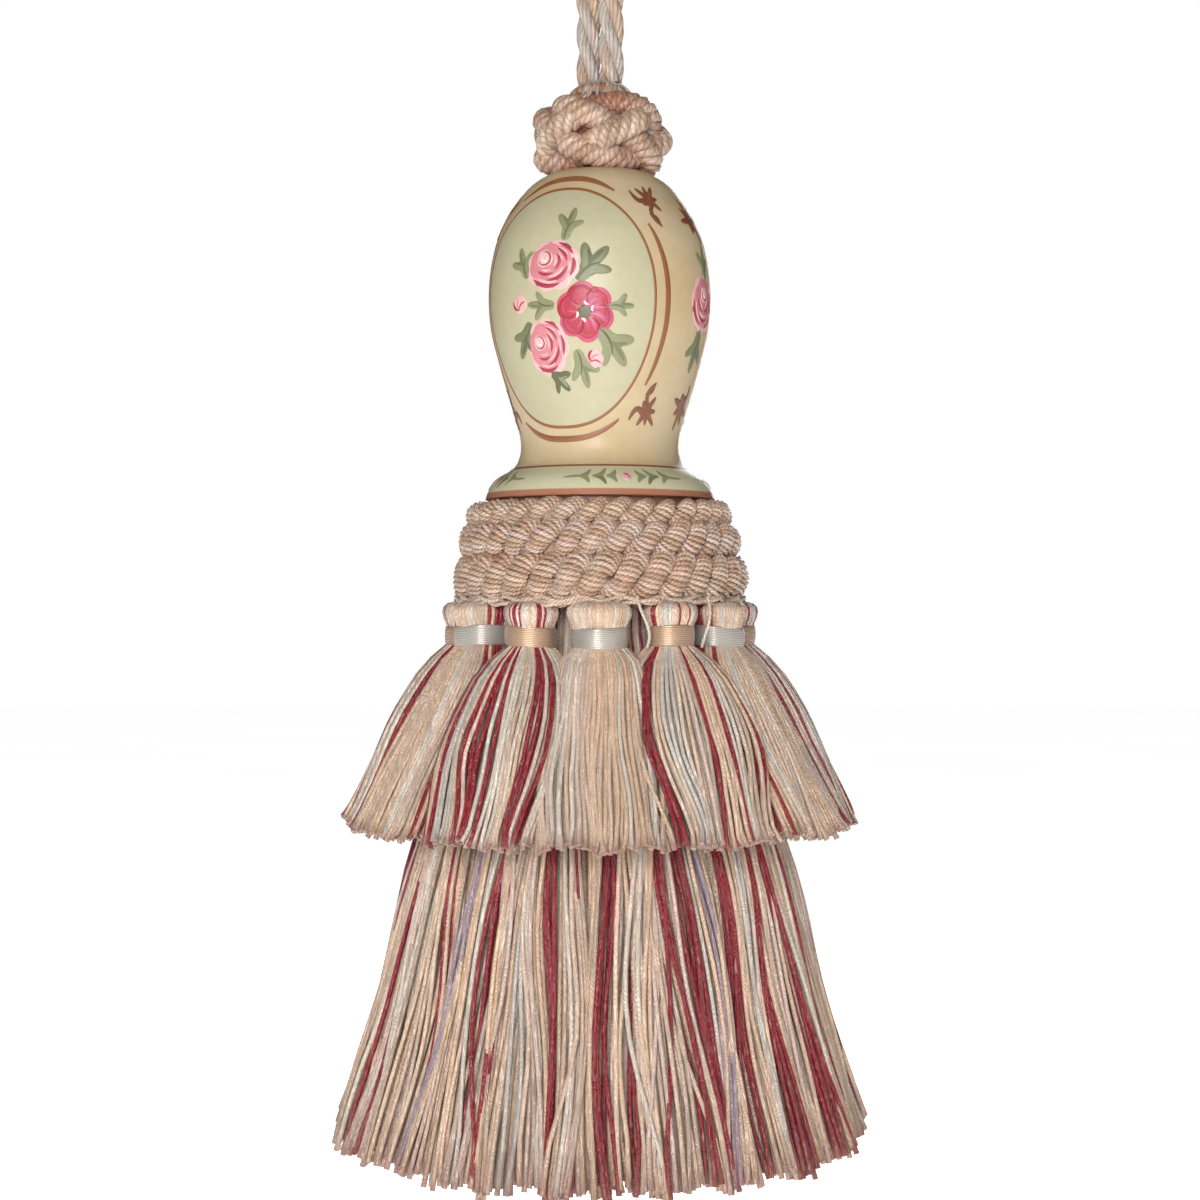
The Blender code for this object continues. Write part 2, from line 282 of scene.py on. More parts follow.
@dataclass
class Weaver:
    """Gathers tubes and patches into one mesh, with a tint and a lay for each of their points."""

    name: str
    points: list[Array] = field(default_factory=list)
    tints: list[Array] = field(default_factory=list)
    corners: list[Array] = field(default_factory=list)
    sizes: list[Array] = field(default_factory=list)
    lays: list[Array] = field(default_factory=list)
    total: int = 0

    def add_grid(self, grids: Array, tint: Array, around: Array, along: Array, wraps: bool) -> None:
        """Add grids of points as faces.

        Args:
            grids: points by grid, row, place in the row and coordinate.
            tint: colours that fit the grids' shape.
            around: the lay's first number for each place in a row, and one more when it wraps.
            along: the lay's second number for each grid and row.
            wraps: whether each row closes on itself, as round a tube.
        """
        count, rows, width, _ = grids.shape
        numbers = self.total + np.arange(count * rows * width).reshape(count, rows, width)
        if wraps:
            numbers = np.concatenate((numbers, numbers[:, :, :1]), axis=2)
        across = numbers.shape[2] - 1
        quads = np.stack(
            (numbers[:, :-1, :-1], numbers[:, :-1, 1:], numbers[:, 1:, 1:], numbers[:, 1:, :-1]), axis=-1
        )
        first, second = np.broadcast_arrays(around[None, None, :], along[:, :, None])
        lay = np.stack((first, second), axis=-1)
        lays = np.stack((lay[:, :-1, :-1], lay[:, :-1, 1:], lay[:, 1:, 1:], lay[:, 1:, :-1]), axis=-2)
        self.points.append(grids.reshape(-1, 3))
        self.tints.append(np.broadcast_to(tint, grids.shape).reshape(-1, 3))
        self.corners.append(quads.reshape(-1))
        self.sizes.append(np.full(count * (rows - 1) * across, 4))
        self.lays.append(lays.reshape(-1, 2))
        self.total += count * rows * width

    def add_caps(self, first: int, count: int, rows: int, width: int, along: Array) -> None:
        """Close both ends of tubes that were added as grids.

        Args:
            first: the number of the tubes' first point.
            count: how many tubes.
            rows: points along a tube.
            width: points round a tube.
            along: the lay's second number for each tube and row.
        """
        numbers = first + np.arange(count * rows * width).reshape(count, rows, width)
        for ring, length in ((numbers[:, 0, ::-1], along[:, 0]), (numbers[:, -1], along[:, -1])):
            lay = np.stack(np.broadcast_arrays(0.25, np.repeat(length[:, None], width, axis=1)), axis=-1)
            self.corners.append(ring.reshape(-1))
            self.sizes.append(np.full(count, width))
            self.lays.append(lay.reshape(-1, 2))

    def add_tubes(
        self,
        lines: Array,
        radius: npt.ArrayLike,
        tint: npt.ArrayLike,
        reference: npt.ArrayLike = UP,
        sides: int = 5,
        closed: bool = False,
    ) -> None:
        """Add tubes along lines.

        Args:
            lines: points by tube, point and coordinate.
            radius: of each tube, or of each point.
            tint: a colour for all, for each tube, for each point, or for each point and side.
            reference: the direction in which each tube's first side faces.
            sides: points round a tube.
            closed: whether each tube's last point joins its first.
        """
        _, across, third = fall_frames(lines, reference)
        tint = np.asarray(tint, float)
        if closed:
            rows = (lines, across, third)
            lines, across, third = (np.concatenate((row, row[:, :1]), axis=1) for row in rows)
            if tint.ndim > 2:
                tint = np.concatenate((tint, tint[:, :1]), axis=1)
        turn = ring(sides)[:, None]
        spokes = np.cos(turn) * across[:, :, None] + np.sin(turn) * third[:, :, None]
        radius = np.broadcast_to(np.asarray(radius, float), lines.shape[:2])
        surface = lines[:, :, None] + radius[:, :, None, None] * spokes
        if tint.ndim in (2, 3):
            tint = np.expand_dims(tint, tuple(range(tint.ndim - 1, 3)))
        first = self.total
        along = run_lengths(lines)
        self.add_grid(surface, tint, np.arange(sides + 1) / sides, along, wraps=True)
        self.add_caps(first, *surface.shape[:3], along)

    def add_barrel(self, rings: Array, tint: Array, along: Array) -> None:
        """Add one barrel with closed ends.

        Args:
            rings: points by ring, place in the ring and coordinate.
            tint: its colour.
            along: the lay's length at each ring.
        """
        first = self.total
        rows, width, _ = rings.shape
        self.add_grid(rings[None], tint, np.linspace(0.0, 1.0, width + 1), along[None], wraps=True)
        self.add_caps(first, 1, rows, width, along[None])

    def add_patch(self, patch: Array, tint: npt.ArrayLike) -> None:
        """Add one open patch of points, by row, place in the row and coordinate."""
        width = patch.shape[1]
        along = run_lengths(patch[:, 0])[None]
        self.add_grid(patch[None], np.asarray(tint, float), np.linspace(0.0, 1.0, width), along, wraps=False)

    def make(self, material: bpy.types.Material, sharp_from: float = 80.0) -> bpy.types.Object:
        """Make the object.

        Args:
            material: what it is dressed in.
            sharp_from: the angle in degrees from which an edge stays sharp.

        Returns:
            The new object, in metres, in the scene.
        """
        mesh = bpy.data.meshes.new(self.name)
        points = np.concatenate(self.points)
        corners = np.concatenate(self.corners)
        sizes = np.concatenate(self.sizes)
        mesh.vertices.add(len(points))
        mesh.vertices.foreach_set("co", (points * MM).astype(np.float32).ravel())
        mesh.loops.add(len(corners))
        mesh.loops.foreach_set("vertex_index", corners.astype(np.int32))
        mesh.polygons.add(len(sizes))
        mesh.polygons.foreach_set("loop_start", (np.cumsum(sizes) - sizes).astype(np.int32))
        mesh.update(calc_edges=True)
        tints = np.concatenate(self.tints)
        colours = mesh.attributes.new("tint", "FLOAT_COLOR", "POINT")
        colours.data.foreach_set("color", np.c_[tints, np.ones(len(tints))].astype(np.float32).ravel())
        layer = mesh.uv_layers.new(name="lay")
        layer.data.foreach_set("uv", np.concatenate(self.lays).astype(np.float32).ravel())
        mesh.shade_smooth()
        mesh.set_sharp_from_angle(angle=math.radians(sharp_from))
        mesh.materials.append(material)
        thing = bpy.data.objects.new(self.name, mesh)
        bpy.context.scene.collection.objects.link(thing)
        return thing


def count_triangles(piece: bpy.types.Object) -> int:
    """Count a piece's triangles."""
    return len(piece.data.loops) - 2 * len(piece.data.polygons)


def settle(piece: bpy.types.Object, slot: str, *nodes: str) -> None:
    """Seat a piece on the body, hide the solids that it stands for, and report it with its finish's name."""
    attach(piece, BODY)
    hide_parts(*nodes)
    LOG.info("%s: %d triangles, finish %s", piece.name, count_triangles(piece), slot)


Value = Union[float, tuple, "Signal"]


class Signal:
    """An output of a node, on which shader arithmetic is written as on a number."""

    def __init__(self, recipe: "Recipe", socket: bpy.types.NodeSocket) -> None:
        """Wrap a socket of the recipe's nodes."""
        self.recipe = recipe
        self.socket = socket

    def _maths(self, operation: str, *values: Value) -> "Signal":
        """Add a Math node on these values."""
        return self.recipe.add("ShaderNodeMath", {"operation": operation}, dict(enumerate(values)))

    def __add__(self, other: Value) -> "Signal":
        """Add."""
        return self._maths("ADD", self, other)

    __radd__ = __add__

    def __sub__(self, other: Value) -> "Signal":
        """Subtract."""
        return self._maths("SUBTRACT", self, other)

    def __rsub__(self, other: Value) -> "Signal":
        """Subtract from a number."""
        return self._maths("SUBTRACT", other, self)

    def __mul__(self, other: Value) -> "Signal":
        """Multiply."""
        return self._maths("MULTIPLY", self, other)

    __rmul__ = __mul__

    def __truediv__(self, other: Value) -> "Signal":
        """Divide."""
        return self._maths("DIVIDE", self, other)

    def __pow__(self, other: Value) -> "Signal":
        """Raise to a power."""
        return self._maths("POWER", self, other)

    def __abs__(self) -> "Signal":
        """Take the size without its sign."""
        return self._maths("ABSOLUTE", self)

    def sine(self) -> "Signal":
        """Take the sine of an angle in radians."""
        return self._maths("SINE", self)

    def turned_from(self, other: "Signal") -> "Signal":
        """Give the angle whose sides are this and the other signal."""
        return self._maths("ARCTAN2", self, other)

    def rises(self, low: float, high: float) -> "Signal":
        """Go smoothly from 0 at low to 1 at high."""
        return self.recipe.add(
            "ShaderNodeMapRange",
            {"interpolation_type": "SMOOTHSTEP"},
            {"Value": self, "From Min": low, "From Max": high},
        )


class Recipe:
    """A material in the making: every node comes from one method."""

    def __init__(self, name: str) -> None:
        """Start a material that has only its output."""
        self.material = bpy.data.materials.new(name)
        self.material.use_nodes = True
        self.tree = self.material.node_tree
        self.tree.nodes.clear()

    def add(
        self, kind: str, settings: dict | None = None, inputs: dict | None = None, output: int | str = 0
    ) -> Signal:
        """Add a node.

        Args:
            kind: the node's type.
            settings: its own settings, set first.
            inputs: values or signals for its sockets, by name or number.
            output: the socket that is read, by name or number.

        Returns:
            The signal of that socket.
        """
        node = self.tree.nodes.new(kind)
        for key, value in (settings or {}).items():
            setattr(node, key, value)
        for key, value in (inputs or {}).items():
            if isinstance(value, Signal):
                self.tree.links.new(value.socket, node.inputs[key])
            elif node.inputs[key].type == "RGBA":
                node.inputs[key].default_value = (*value, 1.0)
            else:
                node.inputs[key].default_value = value
        return Signal(self, node.outputs[output]) if node.outputs else Signal(self, node.inputs[0])

    def mix(self, factor: Value, first: Value, second: Value) -> Signal:
        """Mix two colours by a factor."""
        return self.add("ShaderNodeMix", {"data_type": "RGBA"}, {0: factor, 6: first, 7: second}, 2)

    def tone(self, colour: Value, strength: Value) -> Signal:
        """Make a colour lighter or darker by a factor, which keeps its hue."""
        grey = self.vector(strength, strength, strength)
        return self.add("ShaderNodeVectorMath", {"operation": "MULTIPLY"}, {0: colour, 1: grey})

    def noise(self, vector: Signal, scale: float, detail: float = 2.0) -> Signal:
        """Read cloudy noise, from 0 to 1."""
        return self.add("ShaderNodeTexNoise", {}, {"Vector": vector, "Scale": scale, "Detail": detail})

    def lay(self) -> tuple[Signal, Signal]:
        """Read the lay of a tube: the share round it and the length along it in millimetres."""
        place = self.add("ShaderNodeUVMap", {"uv_map": "lay"})
        return tuple(self.add("ShaderNodeSeparateXYZ", {}, {0: place}, axis) for axis in (0, 1))

    def place(self) -> Signal:
        """Read the place on the object, in metres."""
        return self.add("ShaderNodeTexCoord", output="Object")

    def axes(self) -> tuple[Signal, Signal, Signal]:
        """Give the place along each of the object's own axes, in metres."""
        place = self.place()
        x, y, z = (self.add("ShaderNodeSeparateXYZ", {}, {0: place}, axis) for axis in (0, 1, 2))
        return x, y, z

    def tint(self) -> Signal:
        """Read the tint that the mesh carries."""
        return self.add("ShaderNodeAttribute", {"attribute_type": "GEOMETRY", "attribute_name": "tint"})

    def bump(self, height: Signal, depth: float) -> Signal:
        """Turn a height from 0 to 1 into a normal, the depth being in millimetres."""
        return self.add("ShaderNodeBump", {}, {"Strength": 1.0, "Distance": depth * MM, "Height": height})

    def vector(self, *parts: Value) -> Signal:
        """Join two or three numbers into a vector."""
        return self.add("ShaderNodeCombineXYZ", {}, dict(enumerate(parts)))

    def finish(self, **sockets: Value) -> bpy.types.Material:
        """Close the recipe with a Principled shader.

        Args:
            sockets: its values or signals, with an underscore for a space in a name.

        Returns:
            The material.
        """
        named = {key.replace("_", " "): value for key, value in sockets.items()}
        shader = self.add("ShaderNodeBsdfPrincipled", {}, named)
        self.add("ShaderNodeOutputMaterial", {}, {"Surface": shader})
        return self.material


@dataclass(frozen=True)
class YarnFinish:
    """Silky two-ply yarn: its plies show as slanting ridges over the mesh's tint, with painted shade in the
    grooves between them; the paler ply is partly its own lighter colour and partly a painted highlight.
    """

    name: str
    lay: float = 2.3
    roughness: float = 0.36
    depth: float = 0.12
    # how much painted shade falls in the grooves between the ply ridges
    contrast: float = 0.22
    level: float = 1.0
    sheen: float = 0.12
    # the ivory that the paler ply is tinted towards, partly as a painted highlight
    glint: Shade = Shade.IVORY

    def make(self) -> bpy.types.Material:
        """Make the material."""
        recipe = Recipe(self.name)
        around, along = recipe.lay()
        x, y, z = recipe.axes()
        own = recipe.noise(recipe.vector(x, y, z * 0.02), 900.0, 0.0)
        twist = (around + along / self.lay + own * 4.0) * TAU
        ridge = abs(twist.sine())
        paler = twist.sine().rises(0.2, 0.9)
        fibre = recipe.noise(recipe.vector(around * 3.0, along * 0.9), 2.4, 3.0)
        cloud = recipe.noise(recipe.place(), 260.0, 2.0)
        # painted highlight: the paler ply is tinted a little towards ivory, on top of its own lighter colour
        colour = recipe.mix(paler * 0.05, recipe.tint(), self.glint.colour)
        # painted shade and highlight: darker in the grooves between the ply ridges, lighter on their crowns
        # and on the paler ply
        strength = 1.0 - self.contrast + ridge * self.contrast + paler * 0.10
        strength = (strength + (fibre - 0.5) * 0.5 + (cloud - 0.5) * 0.3) * self.level
        return recipe.finish(
            Base_Color=recipe.tone(colour, strength),
            Roughness=self.roughness,
            Sheen_Weight=self.sheen,
            Sheen_Roughness=0.35,
            Normal=recipe.bump(ridge * 0.8 + fibre * 0.5, self.depth),
        )


@dataclass(frozen=True)
class GimpFinish:
    """Silky plied thread as the knot and collar have it, with painted pale highlights on its threads and
    painted shade between them; the warm painted shade in the hollows comes from the mesh's tint.
    """

    name: str
    pitch: float = 0.85
    threads: int = 2
    roughness: float = 0.34
    depth: float = 0.2
    level: float = 1.0

    def make(self) -> bpy.types.Material:
        """Make the material."""
        recipe = Recipe(self.name)
        around, along = recipe.lay()
        wander = recipe.noise(recipe.place(), 520.0, 3.0)
        turn = (along / self.pitch + around * self.threads + wander * 1.4) * math.pi
        thread = abs(turn.sine()) ** 0.7
        # painted highlight: pale ivory glints on the crowns of the threads
        glint = recipe.noise(recipe.place(), 1100.0, 2.0).rises(0.52, 0.72)
        patch = recipe.noise(recipe.place(), 170.0, 2.0).rises(0.46, 0.66)
        colour = recipe.mix(patch * 0.28, recipe.tint(), Shade.PEARL.colour)
        colour = recipe.mix(glint * thread * 0.35, colour, Shade.IVORY.colour)
        return recipe.finish(
            # painted shade: darker between the wound threads, lightest on their crowns
            Base_Color=recipe.tone(colour, (0.70 + thread * 0.30 + (wander - 0.5) * 0.3) * self.level),
            Roughness=self.roughness,
            Sheen_Weight=0.12,
            Sheen_Roughness=0.35,
            Normal=recipe.bump(thread * 0.7 + wander * 0.6, self.depth),
        )


@dataclass(frozen=True)
class SatinFinish:
    """Satin thread wound in close flat turns, with painted shade between the turns."""

    name: str
    shade: Shade
    turn_height: float = 0.35

    def make(self) -> bpy.types.Material:
        """Make the material."""
        recipe = Recipe(self.name)
        _, along = recipe.lay()
        turn = abs((along * (math.pi / self.turn_height)).sine())
        streak = recipe.noise(recipe.place(), 500.0, 2.0)
        # painted shade: darker between the wound turns, lighter on their crowns
        colour = recipe.tone(self.shade.colour, 0.78 + turn * 0.14 + streak * 0.16)
        return recipe.finish(
            Base_Color=colour,
            Roughness=0.32,
            Metallic=0.45,
            Sheen_Weight=0.15,
            Normal=recipe.bump(turn, 0.05),
        )


@dataclass(frozen=True)
class BrushFinish:
    """Paint laid on with a brush: streaky, a little raised, with a soft gloss."""

    name: str
    roughness: float = 0.42

    def make(self) -> bpy.types.Material:
        """Make the material."""
        recipe = Recipe(self.name)
        around, along = recipe.lay()
        streak = recipe.noise(recipe.vector(around * 3.0, along * 0.35), 3.0, 3.0)
        colour = recipe.tone(recipe.tint(), 0.82 + streak * 0.36)
        return recipe.finish(Base_Color=colour, Roughness=self.roughness, Normal=recipe.bump(streak, 0.06))


class Turning(NamedTuple):
    """A ring of the head's outline: its drop and its radius."""

    drop: float
    radius: float


@dataclass
class HeadSurface:
    """The head's turned outline, read as a smooth curve."""

    rows: tuple[Turning, ...]

    def radius(self, drop: npt.ArrayLike) -> Array:
        """Give the radius at a drop."""
        return blend_rows(drop, [row.drop for row in self.rows], [row.radius for row in self.rows])

    def lay_on(self, angle: npt.ArrayLike, drop: npt.ArrayLike, lift: npt.ArrayLike) -> Array:
        """Place points on the surface, lifted off it by a layer's thickness."""
        return round_axis(angle, self.radius(drop) + lift, drop)


@dataclass(frozen=True)
class PaintFinish:
    """The head's painted ground: a cream coat, two pale medallions, and the foot's bands."""

    name: str
    ground: Shade = Shade.CREAM
    medallion: Shade = Shade.MEDALLION
    roughness: float = 0.38
    edge: float = 0.0003

    def make(self, art: "HeadArt") -> bpy.types.Material:
        """Make the material.

        Args:
            art: the painter's layout, which says where the medallions and bands lie.

        Returns:
            The material.
        """
        recipe = Recipe(self.name)
        place = recipe.place()
        x, y, z = recipe.axes()
        angle = x.turned_from(0.0 - y)
        height = z + art.centre_drop * MM
        cloud = recipe.noise(place, 70.0, 3.0)
        streak = recipe.noise(place, 600.0, 2.0)
        colour = recipe.mix(cloud.rises(0.35, 0.7), self.ground.colour, Shade.TAN.colour)
        for centre in art.medallion_angles():
            turned = (angle - centre + math.pi) / TAU
            wrapped = recipe.add("ShaderNodeMath", {"operation": "FRACT"}, {0: turned}) * TAU - math.pi
            across = wrapped / art.half_angle
            up = height / (art.half_height * MM)
            reach = (abs(across) ** art.squareness + abs(up) ** art.squareness) ** (1 / art.squareness)
            inside = 1.0 - reach.rises(0.985, 1.0)
            colour = recipe.mix(inside, colour, self.medallion.colour)
        for top, shade in ((art.foot_line, Shade.FOOT_CREAM), (art.brown_top, Shade.FOOT_BROWN)):
            band = (0.0 - z).rises(top * MM, top * MM + self.edge)
            colour = recipe.mix(band, colour, shade.colour)
        colour = recipe.tone(colour, 0.9 + streak * 0.12 + cloud * 0.1)
        return recipe.finish(
            Base_Color=colour,
            Roughness=self.roughness,
            Specular_IOR_Level=0.3,
            Normal=recipe.bump(streak, 0.04),
        )


class Dab(NamedTuple):
    """A stroke of the brush: its middle line on the surface, its width, tint and layer.

    A width of nought fills a shape instead, whose middle and then its rim are the line's points.
    """

    line: Array
    width: float
    shade: Shade
    layer: int
    blunt: float


class LeafPlace(NamedTuple):
    """A leaf of the bunch: its root from the bunch's middle, the way it points, its length."""

    across: float
    up: float
    turn: float
    size: float


class Finger(NamedTuple):
    """A finger of a leaf or scroll: the way it points, its length and its half width in degrees."""

    turn: float
    reach: float
    half: float


Spot = tuple[float, float]


@dataclass
class HeadArt:
    """The paintwork on the head: where things lie, and how each is stroked on."""

    surface: HeadSurface
    belly: float = 22.15
    centre_drop: float = 122.8
    centre_angle: float = math.radians(-24.3)
    half_angle: float = math.radians(53.0)
    half_height: float = 22.9
    squareness: float = 2.35
    outer_angle: float = math.radians(60.6)
    outer_height: float = 25.2
    bunch_angle: float = math.radians(-15.0)
    spray_angle: float = math.radians(66.5)
    foot_line: float = 153.2
    brown_top: float = 157.7
    foot_radius: float = 19.0
    foot_groups: int = 4
    foot_turn: float = math.radians(14.0)
    petal_steps: int = 64
    hand_steps: int = 96
    lift: float = 0.03
    swell: float = 0.04
    layer_step: float = 0.02
    across_steps: int = 3
    bunch_leaves: tuple[LeafPlace, ...] = (
        LeafPlace(-1.4, 12.2, 74, 6.6),
        LeafPlace(-9.2, 5.4, 112, 6.4),
        LeafPlace(1.4, 4.4, 46, 8.6),
        LeafPlace(-3.2, -0.2, 176, 6.0),
        LeafPlace(7.6, -0.6, 2, 4.8),
        LeafPlace(-8.8, -3.2, 236, 7.6),
        LeafPlace(5.6, -4.6, -50, 9.0),
        LeafPlace(0.9, -8.6, -72, 7.4),
        LeafPlace(-5.6, -12.2, -42, 5.8),
    )
    leaf_fingers: tuple[Finger, ...] = (Finger(0, 1.0, 20), Finger(54, 0.88, 22), Finger(-52, 0.80, 20))
    scroll_fingers: tuple[Finger, ...] = (
        Finger(-100, 0.95, 13),
        Finger(-55, 0.72, 14),
        Finger(-12, 1.05, 12),
        Finger(32, 0.80, 14),
        Finger(80, 1.0, 13),
        Finger(150, 0.62, 22),
        Finger(210, 0.60, 22),
    )
    dabs: list[Dab] = field(default_factory=list)

    def medallion_angles(self) -> tuple[float, float]:
        """Give the angles of the two medallions."""
        return self.centre_angle, self.centre_angle + math.pi

    def stroke(self, line: Array, width: float, shade: Shade, layer: int, blunt: float = 0.6) -> None:
        """Remember a stroke, whose line is in millimetres round and up from the centre drop."""
        self.dabs.append(Dab(line, width, shade, layer, blunt))

    def fill(self, centre: Spot, reach: Array, turn: Array, shade: Shade, layer: int) -> None:
        """Remember a filled shape, whose rim lies at a reach from its centre for each angle."""
        rim = np.stack((centre[0] + reach * np.cos(turn), centre[1] + reach * np.sin(turn)), axis=-1)
        self.dabs.append(Dab(np.concatenate((np.array([centre]), rim)), 0.0, shade, layer, 0.0))

    def petals(
        self, centre: Spot, size: float, count: int, depth: float, shade: Shade, layer: int, tall: float = 1.0
    ) -> None:
        """Fill a round whose rim is scalloped.

        Args:
            centre: its middle.
            size: its radius.
            count: how many scallops its rim has.
            depth: how deep they are, against its radius.
            shade: its tint.
            layer: its layer.
            tall: its height against its width.
        """
        turn = ring(self.petal_steps)
        rim = size * (1 - depth * (1 - np.abs(np.sin(count / 2 * turn + size))))
        spots = np.stack((rim * np.cos(turn), tall * rim * np.sin(turn)), axis=-1)
        self.fill(centre, np.hypot(*spots.T), np.arctan2(spots[:, 1], spots[:, 0]), shade, layer)

    def hand(
        self,
        root: Spot,
        turn: float,
        size: float,
        fingers: tuple[Finger, ...],
        web: float,
        shade: Shade,
        layer: int,
    ) -> None:
        """Fill a shape with fingers round its root.

        Args:
            root: where the fingers meet.
            turn: the way the first direction points, in degrees.
            size: length of a finger whose reach is one.
            fingers: the fingers.
            web: how far the shape reaches between its fingers, against its size.
            shade: its tint.
            layer: its layer.
        """
        angles = np.linspace(-180.0, 180.0, self.hand_steps, endpoint=False)
        reach = np.full(self.hand_steps, web)
        for finger in fingers:
            apart = np.abs((angles - finger.turn + 180) % 360 - 180)
            reach = np.maximum(reach, web + (finger.reach - web) * np.exp(-((apart / finger.half) ** 2)))
        self.fill(root, size * reach, np.radians(angles + turn), shade, layer)

    def curl(self, start: Spot, end: Spot, bow: float, steps: int = 7) -> Array:
        """Draw a line between two places, bowed to its left by a share of its length."""
        share = np.linspace(0.0, 1.0, steps)[:, None]
        first, last = np.array(start), np.array(end)
        run = last - first
        side = np.array((-run[1], run[0]))
        return first + share * run + bow * np.sin(math.pi * share) * side

    def ray(self, root: Spot, turn: float, reach: float, bow: float = 0.0) -> Array:
        """Draw a line from a root, the way it goes being in degrees."""
        return self.curl(root, self.beside(root, turn, reach), bow)

    def beside(self, root: Spot, turn: float, reach: float) -> Spot:
        """Give the place at a reach from a root, the way being in degrees."""
        a = math.radians(turn)
        return root[0] + reach * math.cos(a), root[1] + reach * math.sin(a)

    def arc(self, centre: Spot, radius: float, start: float, sweep: float, tall: float = 1.0) -> Array:
        """Draw an arc, its angles in degrees."""
        steps = max(6, int(abs(sweep) / 16) + 2)
        turn = np.radians(start + np.linspace(0.0, sweep, steps))
        across, up = centre[0] + radius * np.cos(turn), centre[1] + tall * radius * np.sin(turn)
        return np.stack((across, up), axis=-1)

    def oval(self, half_angle: float, half_height: float, low: float, high: float) -> Array:
        """Draw part of a squared oval frame, between two angles in degrees."""
        steps = max(8, int((high - low) / 3))
        turn = np.radians(np.linspace(low, high, steps))
        power = 2 / self.squareness
        across = np.sign(np.cos(turn)) * np.abs(np.cos(turn)) ** power
        up = np.sign(np.sin(turn)) * np.abs(np.sin(turn)) ** power
        return np.stack((self.belly * half_angle * across, half_height * up), axis=-1)

    def paint_rose(self, centre: Spot, size: float, turn: float, tall: float = 1.0) -> None:
        """Paint a full rose: a pink round, petals cupped one below the next, and an eye off its middle.

        Args:
            centre: its middle.
            size: its radius.
            turn: the way its eye lies from the middle, in degrees.
            tall: its height against its width.
        """
        self.petals(centre, size, 8, 0.12, Shade.ROSE_LIGHT, 2, tall)
        self.petals(self.beside(centre, turn, 0.05 * size), 0.86 * size, 7, 0.08, Shade.ROSE, 3, tall)
        eye = self.beside(centre, turn, 0.36 * size)
        cups = (
            (0.30, 0.82, -98, 74, 0.24),
            (0.32, 0.80, 8, 50, 0.22),
            (0.30, 0.84, 66, 48, 0.18),
            (0.24, 0.66, -56, 84, 0.24),
            (0.22, 0.62, 44, 60, 0.20),
            (0.15, 0.50, -92, 70, 0.18),
            (0.12, 0.46, -6, 92, 0.20),
        )
        for number, (lean, reach, start, sweep, width) in enumerate(cups):
            middle = self.beside(eye, turn + 180, lean * size)
            first = turn + 180 + start
            deep = self.arc(middle, reach * size, first, sweep, tall)
            pale = self.arc(middle, (reach - 0.15) * size, first + 6, sweep - 10, tall)
            self.stroke(deep, width * size, Shade.ROSE_DARK, 4 + number // 3)
            self.stroke(pale, 0.72 * width * size, Shade.ROSE_LIGHT, 5 + number // 3, 0.45)
        self.petals(eye, 0.32 * size, 3, 0.12, Shade.ROSE_LIGHT, 8)
        self.stroke(self.arc(eye, 0.22 * size, turn + 60, 270), 0.15 * size, Shade.ROSE_DARK, 9)
        self.stroke(self.arc(eye, 0.08 * size, turn, 200), 0.14 * size, Shade.WHITE, 10, 0.3)
        glint = self.ray(self.beside(eye, turn + 140, 0.16 * size), turn - 70, 0.20 * size)
        self.stroke(glint, 0.09 * size, Shade.WHITE, 10)

    def paint_bloom(self, centre: Spot, size: float, turn: float) -> None:
        """Paint an open crimson bloom: scalloped petals, a lilac blush, and pale dabs at its heart.

        Args:
            centre: its middle.
            size: its radius.
            turn: how far it is turned, in degrees.
        """
        self.petals(centre, 1.04 * size, 6, 0.16, Shade.CRIMSON_LIGHT, 2)
        self.petals(self.beside(centre, 160, 0.05 * size), 0.96 * size, 6, 0.14, Shade.CRIMSON, 3)
        for petal in range(6):
            a = turn + 60 * petal
            place = self.beside(centre, a, 0.50 * size)
            shade = Shade.ROSE_DARK if petal % 2 else Shade.CRIMSON
            self.stroke(self.arc(place, 0.34 * size, a - 80, 160), 0.20 * size, shade, 4, 0.5)
            fold = self.ray(self.beside(centre, a + 30, 0.3 * size), a + 30, 0.5 * size, 0.2)
            self.stroke(fold, 0.10 * size, Shade.WINE, 5)
        wash = ((-60, 0.62, 0.26), (-24, 0.70, 0.30), (10, 0.60, 0.28), (44, 0.56, 0.24), (78, 0.42, 0.18))
        for lean, reach, width in wash:
            root = self.beside(centre, lean, 0.16 * size)
            petal = self.ray(root, lean, reach * size, 0.12)
            self.stroke(petal, 1.15 * width * size, Shade.CRIMSON_LIGHT, 5, 0.5)
            vein = self.ray(root, lean + 4, 0.8 * reach * size, 0.12)
            self.stroke(vein, 0.5 * width * size, Shade.LILAC, 6, 0.5)
        for ray in range(6):
            way = turn + 100 + 34 * ray
            root = self.beside(centre, way, 0.2 * size)
            self.stroke(self.ray(root, way, 0.42 * size, 0.1), 0.15 * size, Shade.CRIMSON_LIGHT, 5)
        self.petals(centre, 0.26 * size, 5, 0.2, Shade.LEAF_DARK, 6)
        for dab in range(6):
            way = turn + 60 * dab + 20
            shade = (Shade.WHITE, Shade.TERRACOTTA, Shade.WHITE)[dab % 3]
            touch = self.ray(self.beside(centre, way, 0.27 * size), way + 80, 0.20 * size, 0.2)
            self.stroke(touch, 0.15 * size, shade, 7, 0.4)

    def paint_bud(self, centre: Spot, size: float, turn: float) -> None:
        """Paint a bud: a pale round with a few deep strokes in it."""
        self.petals(centre, size, 4, 0.16, Shade.ROSE_LIGHT, 2)
        for number, lean in enumerate((-36, 8, 52)):
            shade = Shade.ROSE if number == 1 else Shade.CRIMSON
            root = self.beside(centre, turn + 180, 0.7 * size)
            self.stroke(self.ray(root, turn + lean, 1.2 * size, 0.2), 0.40 * size, shade, 3 + number, 0.5)

